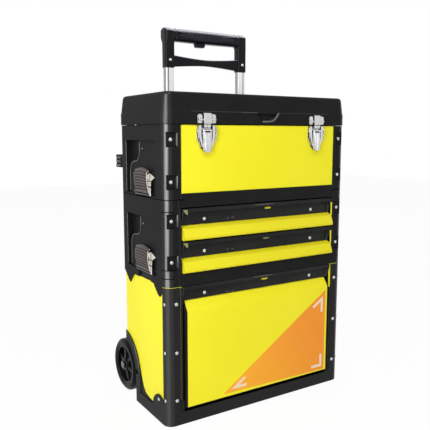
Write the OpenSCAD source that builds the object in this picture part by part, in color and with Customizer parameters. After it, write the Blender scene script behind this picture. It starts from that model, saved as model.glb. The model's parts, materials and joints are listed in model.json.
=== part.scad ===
// Rolling tool box of three stacked units: a tilt-out bin, two drawers and a
// lidded top box, on two wheels with a telescopic handle.
// X runs across the front, +Y to the back, +Z up. The origin is on the floor,
// under the middle of the body's footprint.

/* [Body] */
// Width of the body across its side walls
body_w = 500; // [470:2:530]
// Depth of the body without wheels, handle and latches
body_d = 232; // [222:2:246]
// Radius of the body's upright corners
corner_r = 20; // [17:0.5:23]
// Height of the cabinet that holds the bin
lower_h = 311; // [295:1:330]
// Height of the unit that holds the two drawers
middle_h = 186; // [178:1:200]
// Height of the top box below its lid
top_h = 156; // [148:1:175]
// Height of the lid
lid_h = 67; // [62:1:76]
// Height of the black strip round the foot of the body
base_h = 28; // [24:1:36]

/* [Walls] */
// Thickness of the moulded walls
wall = 3; // [2.5:0.1:3.5]
// Thickness of the sheet steel
sheet_t = 1.2; // [0.8:0.1:1.6]
// How far the sheet steel lies inside the moulded corners
panel_inset = 3.2; // [3:0.1:4]
// Gap between parts that turn or slide past each other
run_gap = 0.3; // [0.2:0.05:0.5]
// Gap of a pin in its bore, on the radius
pin_gap = 0.1; // [0.05:0.01:0.1]

/* [Drawers] */
// Width of the black column beside the drawers
drawer_column = 31; // [28:1:34]
// Height of the black band under the drawers
band_low = 27; // [24:1:30]
// Height of the black band over the drawers
band_high = 17; // [14:1:20]
// Seam between one front and the next
seam = 3; // [2.5:0.5:4]
// Height of the black pull trim on a drawer
trim_h = 36; // [32:1:38]
// Length of a drawer's tray
tray_l = 200; // [185:1:205]
// How far a drawer's lip reaches into its guide
lip_w = 7; // [6:0.5:8]
// How far a drawer's steel front stands out
drawer_proud = 2; // [1:0.5:3]
// How far a drawer's lower edge folds back
drawer_fold_d = 7; // [4:0.5:8]
// Height of that folded edge
drawer_fold_h = 9; // [6:0.5:11]

/* [Bin] */
// Height of the black pull trim on the bin
bin_trim_h = 33; // [30:1:36]
// Distance from the body's side to the bin's steel front
bin_margin = 49.3; // [48:0.1:56]
// Depth of the bin, front to back
bin_d = 190; // [160:1:195]
// Height of the bin's rear wall
bin_back_h = 120; // [90:1:150]
// Radius of the pins that the bin tilts on
bin_pin_r = 4; // [3:0.5:4.5]
// How far the bin's steel front stands out
bin_proud = 4; // [3:0.5:5]

/* [Sticker] */
// Width of the three-cornered sticker on the bin
sticker_w = 305; // [250:5:330]
// Height of the sticker
sticker_h = 206; // [150:2:220]

/* [Pull trim] */
// How deep the finger channel of a trim lies behind the front plane
channel_d = 9; // [7:0.5:11]
// Thickness of a trim
trim_t = 2.5; // [2:0.1:3]
// Height of the lip that hangs down at the top of a trim
lip_drop = 8; // [6:0.5:9]
// Distance from the body's side to the end of a trim
trim_margin = 41; // [40:0.5:46]

/* [Top box] */
// Width of the black column beside the yellow front
top_column = 38; // [34:1:42]
// Height of the black band under the yellow front
top_band = 13; // [10:1:16]
// Height of the loose tray
tote_h = 46; // [36:1:50]

/* [Lid] */
// Width of the finger scoop in the lid's front, at its top
finger_w = 62; // [56:1:80]
// Depth of that finger scoop
finger_d = 6; // [4:0.5:8]
// Offset of the finger scoop from the middle
finger_x = 8.5; // [-10:0.5:20]
// How far the lid overhangs the body
lid_over = 1.5; // [1:0.5:2.5]
// Height of the upright band at the lid's lower edge
lid_band = 26; // [24:1:30]
// How far the lid leans in above that band
lid_lean = 5; // [3:0.5:7]
// Rounding of the lid's upper edge
lid_edge = 8; // [6:0.5:9]
// Gap under the lid
lid_gap = 1; // [0.8:0.1:1.5]
// Radius of a lid hinge's barrel
barrel_r = 4; // [3.5:0.1:4.2]
// Radius of a lid hinge's pin
hinge_pin_r = 2; // [1.5:0.1:2.4]
// Length of a lid hinge
hinge_l = 60; // [45:1:75]
// Distance from the body's side to the middle of a lid hinge
hinge_margin = 90; // [85:1:105]

/* [Carry handle] */
// Length of the carry handle's bar
carry_l = 116; // [100:1:140]
// Thickness of the carry handle
carry_t = 9; // [8:0.5:10]
// Reach of the carry handle from its pivot
carry_reach = 40; // [34:1:46]

/* [Front latches] */
// Distance from the body's side to the middle of a front latch
latch_margin = 98; // [85:1:110]
// Width of a front latch at its top
latch_w = 45; // [38:1:50]
// Width of a front latch at its foot
latch_foot_w = 30; // [24:1:34]
// Length of a front latch's lever
latch_l = 50; // [44:1:56]
// Height of the catch on the lid
catch_h = 20; // [16:1:22]

/* [Side latches] */
// Width of a side latch's lever
side_lever_w = 72; // [64:1:90]
// Length of a side latch's lever below its pivot
side_lever_l = 49; // [42:1:50]
// How far a side latch's lever stands out
side_lever_out = 9.5; // [8.5:0.5:11]
// Width of a side latch's hook
hook_w = 56; // [44:1:60]
// Length of a side latch's hook below its pivot
hook_l = 52.5; // [51:0.5:53]
// Radius of a side latch's pin
latch_pin_r = 1.5; // [1.2:0.1:1.8]

/* [Side recesses] */
// Depth of the shallow recess in a side wall
recess_d = 5; // [4:0.5:6]
// Depth of the hand pocket in a side wall
pocket_d = 14; // [12:0.5:16]
// Front edge of the recess, from the middle of the depth
recess_front = 73; // [68:1:78]
// Rear edge of the recess, from the middle of the depth
recess_back = 78; // [74:1:82]

/* [Wheels] */
// Radius of a wheel
wheel_r = 64; // [56:1:66]
// Width of a wheel
wheel_w = 32; // [26:1:33]
// Radius of the rim that carries the tyre
rim_r = 47; // [40:1:50]
// Radius of the axle
axle_r = 5; // [4:0.5:6]
// Distance of the axle behind the body's back
axle_back = 6; // [5:0.5:10]
// Gap round a wheel in its arch
arch_gap = 12; // [9:0.5:14]
// Width of the black band round a wheel arch
arch_band = 22; // [16:1:26]

/* [Trolley handle] */
// Distance of a handle tube from the middle
tube_x = 107; // [95:1:120]
// Distance of the tubes behind the body's back
tube_back = 20; // [19:0.5:24]
// Width of an inner tube
tube_w = 23; // [20:0.5:23.5]
// Depth of an inner tube
tube_d = 17; // [14:0.5:18]
// Wall of the tubes
tube_t = 1.5; // [1:0.1:1.8]
// Height of the lower end of the fixed tubes
sleeve_low = 92; // [85:1:110]
// Height of the upper end of the fixed tubes
sleeve_high = 640; // [600:2:650]
// Height of the lower end of the inner tubes
tube_low = 280; // [260:2:300]
// Height of the foot of the grip
grip_low = 796; // [790:1:806]
// Height of the top of the grip
grip_high = 893; // [884:1:900]
// Radius of the grip bar
grip_r = 14; // [12:0.5:14]
// Height of the grip bar
grip_bar_h = 35; // [30:1:38]
// Width of a grip post
post_w = 26; // [25.5:0.5:29]
// Depth of a grip post
post_d = 23; // [21:0.5:24]
// Height of the head of a grip post
head_h = 31; // [26:1:34]
// How far that head reaches behind the middle of the tubes
head_reach = 22; // [16:0.5:24]
// Offset of the release button from the middle
button_x = -18; // [-24:1:24]
// Travel of the release button
button_travel = 4; // [3:0.5:5]

/* [Rivets] */
// Radius of a rivet's head
rivet_r = 4; // [3:0.5:4.5]
// Height of a rivet's head
rivet_h = 1.6; // [1.2:0.1:2]
// Height of the lowest rivet over the foot strip
rivet_foot = 30; // [24:1:34]
// Distance of the highest rivet under the lower unit's top
rivet_head = 37; // [30:1:44]
// Distance of a trim's rivet from the body's side
trim_rivet_margin = 99; // [80:1:120]

/* [Corner dimples] */
// Width of a dimple
dimple_w = 28; // [24:1:30]
// Height of a dimple
dimple_h = 31; // [26:1:34]
// Depth of a dimple
dimple_d = 6; // [4:0.5:7]

/* [Hidden] */

// Planes that the pieces share
side = body_w / 2;
front = -body_d / 2;
back = body_d / 2;
z_low = lower_h;
z_mid = z_low + middle_h;
z_top = z_mid + top_h;
z_lid = z_top + lid_h;
sheet_side = side - panel_inset;
sheet_front = front + panel_inset;
sheet_back = back - panel_inset;
through = 1;
axle_y = back + axle_back;
tube_y = back + tube_back;
latch_x = side - latch_margin;
hinge_x = side - hinge_margin;
trim_half = side - trim_margin;
bin_half = side - bin_margin;

// Drawers
drawer_x = side - drawer_column;
tray_half = drawer_x - 2 * lip_w;
front_half = drawer_x - seam - 1;
drawer_h = (middle_h - band_low - band_high - 2 * seam - 1) / 2;
drawer_z = [z_low + band_low + 1, z_low + band_low + 1 + drawer_h + seam];
channel_y = front + channel_d + trim_t;
tray_y = channel_y + sheet_t;
tray_lift = 6;
lip_t = 2;
lip_play = 0.4;

// Bin
bin_side_t = 4;
bin_wall_x = bin_half + 0.3;
bin_out_x = bin_wall_x + bin_side_t;
bin_z = base_h + 9;
bin_top = z_low - 1;
bin_y = front + 8;
bin_pin_z = bin_z + 1;
bin_swing_r = z_low - wall - bin_pin_z - 2;
ear_x = bin_out_x + 2;
ear_t = 7;
rim_t = 1;
cap_w = 62;
cap_h = 34;
cap_shift = 23;
tab_h = 24;
post_gap = 5;
post_depth = 19;
frame_skirt = 20;
ear_top = bin_pin_z + 16;
return_x = trim_half + 2;
post_x = return_x + post_gap;
post_y = front + post_depth;
cap_y = post_y + cap_shift;

// Wheels and arches
wheel_z = wheel_r;
arch_r = wheel_r + arch_gap;
arch_x = side - wheel_w - 6;
wheel_x = side - wheel_w - 1;
block_back = axle_y + 16;
block_x = arch_x - wall - 4;

// Top box
top_x = side - top_column;
rib_h = z_top - tote_h - 8;

// Finger scoop: how far its side walls and its foot run in
scoop_lean = 15;
scoop_foot = 7;
scoop_head = 2;
scoop_slant = 7;

// Lid hinge
hinge_y = sheet_back - wall - 1.8;
hinge_z = z_lid - 12;
hinge_plate_t = 1.5;
hinge_plate_h = 28;
riser_top = hinge_z - barrel_r - 4;
lid_low = z_top + lid_gap;
lid_w = body_w + 2 * lid_over;
lid_d = body_d + 2 * lid_over;
lid_r = corner_r + lid_over;
lid_front = front - lid_over;
carry_y = -18;
carry_z = z_lid - carry_t / 2 - 2.5;
carry_well = 14.5;
well_x = carry_l / 2 + 5;
carry_pin_r = 2.5;

// Front latches
latch_face = sheet_front - 2;
lever_y = latch_face - 2.2 - 4;
lever_z = z_top - 13;
lever_pin_r = 1.8;
knuckle_r = 3.4;

// Side latches: rise of the pivot over the foot of the unit that carries it,
// and depth of the strike lug's foot below that foot
lower_latch_rise = 72;
upper_latch_rise = 58;
latch_rise = [lower_latch_rise, upper_latch_rise];
latch_unit = [z_low, z_mid];
lower_lug_foot = 14;
upper_lug_foot = wall + 12;
lug_foot = [lower_lug_foot, upper_lug_foot];
latch_pivot_x = side + 2.5;
latch_y = -12;
plate_t = 1.2;
hook_x = side;
lug_t = 2.6;
lug_w = hook_w - 4;
lug_x = sheet_side - sheet_t;
lug_play = 0.4;
hook_lip_t = 1.4;
channel_half = hook_w / 2 + 4;
side_barrel_r = 3.4;

// Trolley handle
sleeve_gap = 0.4;
sleeve_w = tube_w + 2 * (sleeve_gap + tube_t);
sleeve_d = tube_d + 2 * (sleeve_gap + tube_t);
bar_low = grip_high - grip_bar_h;
button_w = 28;
button_d = 11;
button_out = 8;
tie_z = 813;
bracket_levels = [sleeve_low + 6, z_low - 40, sleeve_high - 45];
bracket_h = 26;

// Rivet places
rivet_step = (lower_h - base_h - rivet_foot - rivet_head) / 2;
lower_rivets = [for (i = [0:2]) base_h + rivet_foot + i * rivet_step];
dimple_rise = 53;
dimple_drop = 45;
top_dimple_rise = 37;
top_dimple_drop = 31;
dimple_set = 17;
post_rivet_set = 13;
middle_dimples = [z_low + dimple_rise, z_mid - dimple_drop];
top_dimples = [z_mid + top_dimple_rise, z_top - top_dimple_drop];
post_rivet_x = side - corner_r - rivet_r;
post_rivet_y = front + post_rivet_set;
dimple_x = side - dimple_set;
trim_rivet_x = side - trim_rivet_margin;

// Colours
black = [0.13, 0.13, 0.14];
yellow = [0.96, 0.89, 0.05];
chrome = [0.78, 0.79, 0.8];
grey = [0.4, 0.38, 0.36];

// ---- Helpers ----

// Children, and their copies on the other side of the middle plane
module both_sides() {
    children();
    mirror([1, 0, 0]) children();
}

// Rounded rectangle about the origin, with true arcs at its corners
module rounded(w, d, r) {
    square([w - 2 * r, d], center = true);
    square([w, d - 2 * r], center = true);
    for (i = [-1, 1]) {
        for (j = [-1, 1]) {
            translate([i * (w / 2 - r), j * (d / 2 - r)]) circle(r, $fn = 48);
        }
    }
}

// Upright block with the body's rounded outline, inset on every side
module body_block(z0, z1, inset = 0) {
    translate([0, 0, z0]) linear_extrude(z1 - z0)
        rounded(body_w - 2 * inset, body_d - 2 * inset, corner_r - inset);
}

// Box between two corners
module box(a, b) {
    translate(a) cube(b - a);
}

// Outline in Y and Z, pushed out along X from x0 to x1
module along_x(x0, x1) {
    translate([x0, 0, 0]) rotate([90, 0, 90]) linear_extrude(x1 - x0) children();
}

// Outline in X and Z, pushed out along Y from y0 to y1
module along_y(y0, y1) {
    translate([0, y1, 0]) rotate([90, 0, 0]) linear_extrude(y1 - y0) children();
}

// Round bar along X
module rod_x(x0, x1, y, z, r) {
    translate([x0, y, z]) rotate([0, 90, 0]) cylinder(r = r, h = x1 - x0, $fn = 48);
}

// Round bar along Y
module rod_y(y0, y1, x, z, r) {
    translate([x, y0, z]) rotate([-90, 0, 0]) cylinder(r = r, h = y1 - y0, $fn = 48);
}

// Rivet head whose seat is the XY plane
module rivet() {
    cylinder(r = rivet_r, h = rivet_h * 0.5, $fn = 32);
    cylinder(r = rivet_r * 0.72, h = rivet_h, $fn = 32);
}

module rivet_front(x, y, z) {
    translate([x, y, z]) rotate([90, 0, 0]) rivet();
}

module rivet_side(x, y, z) {
    translate([x, y, z]) rotate([0, 90, 0]) rivet();
}

// Points of an arc
function arc(cx, cy, r, a0, a1, n = 8) =
    [for (i = [0:n]) [cx + r * cos(a0 + (a1 - a0) * i / n), cy + r * sin(a0 + (a1 - a0) * i / n)]];

// ---- Lower unit ----

// Outline of a wheel well in Y and Z, grown by g
module well_outline(g = 0) {
    translate([axle_y, wheel_z]) circle(arch_r + g, $fn = 96);
    translate([axle_y - arch_r - g, -through]) square([2 * (arch_r + g), wheel_z + through]);
}

// Hollow beam behind the tray, with ears that hold the axle
module axle_beam() {
    difference() {
        union() {
            box([-block_x, sheet_back, 0], [block_x, block_back, base_h]);
            both_sides() for (x = [block_x - ear_t, tube_x - ear_t / 2]) {
                box([x, sheet_back, base_h], [x + ear_t, block_back, wheel_z + axle_r + 8]);
            }
        }
        box([-block_x + wall, sheet_back - 1, wall], [block_x - wall, block_back - wall, base_h - wall]);
        rod_x(-block_x - 1, block_x + 1, axle_y, wheel_z, axle_r);
    }
}

module base_tray() {
    color(black) {
        difference() {
            body_block(0, base_h);
            body_block(wall, base_h + through, wall);
            box([-block_x + wall, 0, wall], [block_x - wall, back + 1, base_h - wall]);
            both_sides() box([arch_x - wall, axle_y - arch_r - wall, -1], [side + 1, back + 1, base_h + 1]);
        }
        both_sides() box([arch_x - 2 * wall, axle_y - arch_r - wall, 0], [arch_x - wall, sheet_back, base_h]);
        axle_beam();
        both_sides() difference() {
            box([ear_x, front + wall - 1, wall - 1], [ear_x + ear_t, front + 18, ear_top]);
            rod_x(ear_x - 1, ear_x + ear_t + 1, bin_y, bin_pin_z, bin_pin_r + pin_gap);
        }
    }
}

module lower_sheet() {
    color(yellow) difference() {
        body_block(base_h, z_low, panel_inset);
        body_block(base_h - 1, z_low + 1, panel_inset + sheet_t);
        box([-return_x, front - 1, base_h - 1], [return_x, 0, z_low + 1]);
        both_sides() box([0, front - 1, base_h - 1], [post_x + 12, post_y, ear_top + 2]);
        box([-block_x - 1, sheet_back - 3, base_h - 1], [block_x + 1, sheet_back + 1, base_h + 1]);
        both_sides() along_x(arch_x - wall, side + 1) well_outline(wall + run_gap);
    }
    // Rim that lies on top of the corner posts
    color(yellow) both_sides() difference() {
        body_block(z_low - rim_t, z_low, run_gap);
        body_block(z_low - rim_t - 1, z_low + 1, panel_inset + sheet_t / 2);
        box([-side, front - 1, z_low - rim_t - 1], [post_x, back + 1, z_low + 1]);
        box([0, post_y, z_low - rim_t - 1], [side, back + 1, z_low + 1]);
    }
}

module corner_posts() {
    color(black) both_sides() difference() {
        union() {
            difference() {
                body_block(base_h, z_low - rim_t);
                body_block(base_h - 1, z_low + 1, wall);
            }
            box([post_x, front + 0.5, base_h], [post_x + wall, front + wall, z_low - rim_t]);
        }
        box([-side - 1, front - 1, base_h - 1], [post_x, back + 1, z_low + 1]);
        box([-side - 1, post_y, base_h - 1], [side + 1, back + 1, z_low + 1]);
        for (z = lower_rivets) {
            rod_x(side - 2, side + 1, post_rivet_y, z, rivet_r + 1);
        }
    }
}

module lower_top_frame() {
    color(black) difference() {
        body_block(z_low - frame_skirt, z_low, panel_inset + sheet_t);
        body_block(z_low - frame_skirt - 1, z_low - wall, panel_inset + sheet_t + wall);
        box([-return_x - 1, front, z_low - frame_skirt - 1], [return_x + 1, post_y, z_low + 1]);
        both_sides()
            box([lug_x - lug_t, latch_y - lug_w / 2, z_low - lug_foot[0]],
                [side, latch_y + lug_w / 2, z_low + 1]);
    }
}

// Pointed arches over the foot of each side panel, each where two circles meet
module foot_caps() {
    arch = (cap_h * cap_h + cap_w * cap_w / 4) / cap_w;
    color(black) both_sides() along_x(sheet_side, side) intersection() {
        translate([cap_y + cap_w / 2 - arch, base_h]) circle(arch, $fn = 96);
        translate([cap_y - cap_w / 2 + arch, base_h]) circle(arch, $fn = 96);
        translate([post_y + run_gap, base_h]) square([cap_w, cap_h]);
    }
}

module wheel_arches() {
    color(black) both_sides() intersection() {
        body_block(0, z_low);
        union() {
            along_x(arch_x - wall, side) difference() {
                well_outline(wall);
                well_outline();
            }
            along_x(arch_x - wall, arch_x) well_outline(wall);
            along_x(sheet_side, side) difference() {
                union() {
                    translate([axle_y, wheel_z]) circle(arch_r + arch_band, $fn = 96);
                    translate([axle_y - arch_r - arch_band, base_h]) square([arch_band, wheel_z - base_h]);
                }
                well_outline();
                translate([0, -arch_r]) square([axle_y - arch_r - wall, arch_r + base_h]);
            }
        }
        difference() {
            box([0, -back, 0], [side + 1, back, z_low]);
            box([0, sheet_back, -1], [sheet_side - corner_r, back + 1, z_low]);
            rod_x(arch_x - wall - 1, arch_x + 1, axle_y, wheel_z, axle_r + 1);
        }
    }
}

module axle() {
    color(chrome) {
        rod_x(-side - 1, side + 1, axle_y, wheel_z, axle_r);
        both_sides() rod_x(side - run_gap * 2, side + 2, axle_y, wheel_z, axle_r + 4);
    }
}

// ---- Middle and top units ----

// Outline of the hand pocket in Y and Z: a bay at the top that runs down into
// a narrow strip at the back along an S-shaped edge. h is its height.
module pocket_outline(h) {
    bay = 25;
    bay_front = 15;
    bend_r = 22;
    strip = recess_back - 12;
    polygon(concat(
        [[recess_back, 0], [recess_back, h], [bay_front, h]],
        arc(bay_front + bend_r, h - bay, bend_r, 180, 250, 6),
        arc(strip - bend_r, h - bay - 45, bend_r, 75, 0, 6),
        [[strip, 0]]
    ));
}

// One moulded side of a unit, with its recess, hand pocket and corner dimples
module unit_end(z0, z1, inner_x, recess_z0, recess_z1, dimples) {
    difference() {
        union() {
            difference() {
                body_block(z0, z1);
                body_block(z0 - 1, z1 - wall, wall);
            }
            // Inner wall
            box([inner_x, front + 0.5, z0], [inner_x + wall, back - 0.5, z1]);
            // Backs of the recess, of the pocket and of the latch's channel
            box([side - recess_d - wall, -recess_front - wall, z0],
                [side - 1, recess_back + wall, recess_z1 + wall]);
            box([side - pocket_d - wall, 0, z0], [side - 1, recess_back + wall, recess_z1 + wall]);
            // Backs of the dimples
            for (z = dimples) {
                box([inner_x, front + 1, z - dimple_h / 2 - wall],
                    [side - wall / 2, front + dimple_d + wall, z + dimple_h / 2 + wall]);
            }
        }
        box([-side - 1, front - 1, z0 - 1], [inner_x, back + 1, z1 + 1]);
        // Everything outside the rounded outline
        difference() {
            box([0, front - 1, z0 - 1], [side + 5, back + 1, z1 + 1]);
            body_block(z0 - 2, z1 + 2);
        }
        box([side - recess_d, -recess_front, recess_z0], [side + 1, recess_back, recess_z1]);
        along_x(side - pocket_d, side + 1) translate([0, recess_z0]) pocket_outline(recess_z1 - recess_z0);
        box([lug_x - lug_t - run_gap, latch_y - channel_half, z0 - 1],
            [side + 1, latch_y + channel_half, recess_z0 + 10]);
        for (z = dimples) {
            box([dimple_x - dimple_w / 2, front - 1, z - dimple_h / 2],
                [side + 1, front + dimple_d, z + dimple_h / 2]);
        }
    }
}

// Pointed tabs that reach down over the lower unit's side
module side_tabs() {
    y0 = post_y + run_gap;
    along_x(sheet_side, side) {
        polygon([
            [y0, z_low], [y0, z_low - tab_h / 2], [y0 + 13, z_low - tab_h],
            [y0 + 20, z_low - tab_h + 3], [y0 + 42, z_low]
        ]);
        polygon([[back - 69, z_low], [back - 46, z_low - tab_h], [back - 20, z_low]]);
    }
}

module middle_ends() {
    color(black) both_sides() {
        difference() {
            unit_end(z_low, z_mid, drawer_x, z_low + 18, z_low + 142, middle_dimples);
            box([lug_x - lug_t, latch_y - lug_w / 2, z_mid - lug_foot[1]],
                [lug_x, latch_y + lug_w / 2, z_mid + 1]);
        }
        side_tabs();
    }
}

module middle_floor() {
    color(black) along_x(-drawer_x, drawer_x) polygon([
        [front, z_low], [back - 0.5, z_low], [back - 0.5, z_low + wall], [front + wall, z_low + wall],
        [front + wall, z_low + band_low - wall], [channel_y, z_low + band_low - wall],
        [channel_y, z_low + band_low], [front, z_low + band_low]
    ]);
}

module middle_top_frame() {
    color(black) along_x(-drawer_x, drawer_x) polygon([
        [front, z_mid - band_high], [channel_y, z_mid - band_high], [channel_y, z_mid - band_high + wall],
        [front + wall, z_mid - band_high + wall], [front + wall, z_mid - wall], [back - 0.5, z_mid - wall],
        [back - 0.5, z_mid], [front, z_mid]
    ]);
}

module middle_back() {
    color(yellow)
        box([-drawer_x, sheet_back - sheet_t, z_low + wall], [drawer_x, sheet_back, z_mid - wall]);
}

module drawer_guides() {
    color(chrome) both_sides() for (z = drawer_z) {
        lip_z = z + drawer_h - 10;
        difference() {
            box([tray_half + lip_w / 2 + 1, tray_y + 2, lip_z - 5],
                [drawer_x, sheet_back - sheet_t - 4, lip_z + 7]);
            box([0, tray_y + 1, lip_z - lip_play],
                [tray_half + lip_w + run_gap * 2, sheet_back, lip_z + lip_t + lip_play]);
        }
    }
}

module top_ends() {
    color(black) both_sides() {
        unit_end(z_mid, z_top, top_x, z_mid + 4, z_mid + 123, top_dimples);
        // Ledge that carries the loose tray
        box([top_x - 8, front + 46, rib_h - wall], [top_x, back - 36, rib_h]);
        // Ribbed bumper that the box lies on when it is tipped back
        difference() {
            box([side - 20, back - 2, z_mid + 58], [side - 3, back + 29, z_mid + 88]);
            for (z = [z_mid + 68, z_mid + 78]) {
                rod_x(side - 21, side - 2, back + 29, z, 2.5);
            }
        }
    }
}

module top_sheet() {
    color(yellow)
        box([-top_x, sheet_front - 2, z_mid + wall], [top_x, sheet_front - 2 + sheet_t, z_top - 1]);
}

module top_floor() {
    lip_y = sheet_front - 2;
    color(black) along_x(-top_x, top_x) polygon([
        [front, z_mid], [sheet_back - wall, z_mid], [sheet_back - wall, z_mid + wall],
        [lip_y, z_mid + wall], [lip_y, z_mid + top_band], [front, z_mid + top_band]
    ]);
}

module top_back() {
    color(black)
        box([-top_x + 4, sheet_back - wall, z_mid], [top_x - 4, sheet_back, riser_top]);
}

module tote_tray() {
    x = top_x - 2;
    y0 = sheet_front + 14;
    y1 = sheet_back - 16;
    color(yellow) {
        difference() {
            box([-x, y0, rib_h], [x, y1, rib_h + tote_h]);
            for (i = [0:2]) {
                cell = (2 * x - 4 * 2) / 3;
                box([-x + 2 + i * (cell + 2), y0 + 2, rib_h + 2],
                    [-x + 2 + i * (cell + 2) + cell, y1 - 2, rib_h + tote_h + 1]);
            }
        }
    }
}

// ---- Lid ----

module lid_solid(inset) {
    top = z_lid - inset;
    shoulder = lid_low + lid_band;
    translate([0, 0, lid_low]) linear_extrude(lid_band)
        rounded(lid_w - 2 * inset, lid_d - 2 * inset, lid_r - inset);
    hull() {
        for (s = [[shoulder - 0.1, 1], [top - lid_edge, lid_lean],
                  [top - lid_edge * 0.6, lid_lean + lid_edge * 0.1],
                  [top - lid_edge * 0.2, lid_lean + lid_edge * 0.4], [top - 0.1, lid_lean + lid_edge]]) {
            d = inset + s[1];
            translate([0, 0, s[0]]) linear_extrude(0.1)
                rounded(lid_w - 2 * d, lid_d - 2 * d, max(2, lid_r - d));
        }
    }
}

// Outline of the finger scoop in X and Z, drawn in by g
module scoop_outline(g) {
    half = finger_w / 2 - g;
    top = lid_low + lid_band - scoop_head - g / 3;
    foot = lid_low + scoop_foot + g / 3;
    polygon([[finger_x - half, top], [finger_x - half + scoop_lean, foot],
        [finger_x + half - scoop_lean, foot], [finger_x + half, top]]);
}

module lid_shell() {
    well_y0 = carry_y - carry_t;
    well_y1 = carry_y + carry_reach + 7;
    hinge_room = top_x - 2;
    color(black) difference() {
        union() {
            difference() {
                lid_solid(0);
                translate([0, 0, -0.01]) lid_solid(wall);
            }
            box([-well_x - wall, well_y0 - wall, z_lid - carry_well - wall],
                [well_x + wall, well_y1 + wall, z_lid - wall / 2]);
            // Back of the finger scoop
            box([finger_x - finger_w / 2, lid_front + wall / 2, lid_low],
                [finger_x + finger_w / 2, lid_front + finger_d + wall, lid_low + lid_band + wall]);
        }
        box([-well_x, well_y0, z_lid - carry_well], [well_x, well_y1, z_lid + 1]);
        both_sides() rod_x(carry_l / 2 - 1, well_x + wall + 1, carry_y, carry_z, carry_pin_r + pin_gap);
        // The back is open: the box's rear wall stands there
        box([-hinge_room, sheet_back - wall - 12, lid_low - 1], [hinge_room, back + 5, z_lid - lid_edge]);
        // Room for the hinge leaves under the lid's top
        box([-hinge_room, hinge_y - 40, z_lid - 14], [hinge_room, hinge_y + 2 + run_gap, z_lid - wall]);
        // Finger scoop in the front band
        hull() {
            along_y(lid_front - 0.1, lid_front) scoop_outline(0);
            along_y(lid_front + finger_d - 0.1, lid_front + finger_d) scoop_outline(scoop_slant);
        }
    }
}

module lid_catches() {
    color(chrome) for (x = [-latch_x, latch_x]) {
        translate([x, 0, 0]) {
            along_y(lid_front - 1.5, lid_front) union() {
                translate([-latch_w / 2, lid_low + 1]) square([latch_w, catch_h * 0.55]);
                for (i = [-1, 1]) {
                    translate([i * latch_w * 0.3, lid_low + catch_h * 0.6]) circle(latch_w * 0.17, $fn = 32);
                }
                translate([0, lid_low + catch_h * 0.7]) circle(latch_w * 0.15, $fn = 32);
            }
            box([-latch_w * 0.28, lid_front - 6.5, lid_low],
                [latch_w * 0.28, lid_front - 1.5, lid_low + catch_h * 0.6]);
            rod_x(-latch_w * 0.36, latch_w * 0.36, lid_front - 5, lid_low + catch_h * 0.62, 3);
        }
    }
}

module hinge_bases() {
    color(chrome) for (x = [-hinge_x, hinge_x]) {
        for (x0 = [x - hinge_l / 2, x + hinge_l / 4]) {
            rod_x(x0, x0 + hinge_l / 4, hinge_y, hinge_z, barrel_r);
            box([x0, sheet_back - wall - hinge_plate_t, hinge_z - hinge_plate_h],
                [x0 + hinge_l / 4, sheet_back - wall, hinge_z]);
        }
        rod_x(x - hinge_l / 2, x + hinge_l / 2, hinge_y, hinge_z, hinge_pin_r);
        box([x - hinge_l / 2, sheet_back - wall - hinge_plate_t, hinge_z - hinge_plate_h],
            [x + hinge_l / 2, sheet_back - wall, hinge_z - barrel_r - 2]);
    }
}

module lid_hinge_leaves() {
    leaf_z = z_lid - wall;
    color(chrome) for (x = [-hinge_x, hinge_x]) {
        x0 = x - hinge_l / 4 + run_gap;
        x1 = x + hinge_l / 4 - run_gap;
        difference() {
            union() {
                rod_x(x0, x1, hinge_y, hinge_z, barrel_r);
                box([x0, hinge_y - 2, hinge_z], [x1, hinge_y + 2, leaf_z]);
                box([x0, hinge_y - 38, leaf_z - 1.5], [x1, hinge_y + 2, leaf_z]);
            }
            rod_x(x0 - 1, x1 + 1, hinge_y, hinge_z, hinge_pin_r + pin_gap);
        }
    }
}

module carry_handle() {
    half = carry_l / 2;
    r = carry_t / 2;
    color(black) {
        both_sides() {
            rod_x(half - 2 * r, well_x + wall - 0.5, carry_y, carry_z, carry_pin_r);
            rod_x(half - 2 * r, half, carry_y, carry_z, r);
            box([half - 2 * r, carry_y, carry_z - r], [half, carry_y + carry_reach - r, carry_z + r]);
        }
        rod_x(-half, half, carry_y + carry_reach - r, carry_z, r);
    }
}

// ---- Front latches ----

module latch_bases() {
    color(chrome) for (x = [-latch_x, latch_x]) {
        translate([x, 0, 0]) {
            along_y(latch_face - 2.2, latch_face) polygon([
                [-latch_w / 2, z_top - 1.5], [latch_w / 2, z_top - 1.5], [latch_w / 2, lever_z - 14],
                [latch_foot_w / 2, lever_z - latch_l + 2], [latch_foot_w / 4, lever_z - latch_l - 1],
                [-latch_foot_w / 4, lever_z - latch_l - 1], [-latch_foot_w / 2, lever_z - latch_l + 2],
                [-latch_w / 2, lever_z - 14]
            ]);
            for (x0 = [-latch_w / 2, latch_w / 2 - 2]) {
                box([x0, lever_y - 3, lever_z - 6], [x0 + 2, latch_face - 2, lever_z + 8]);
            }
            rod_x(-latch_w / 2, latch_w / 2, lever_y, lever_z, lever_pin_r);
        }
    }
}

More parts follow.
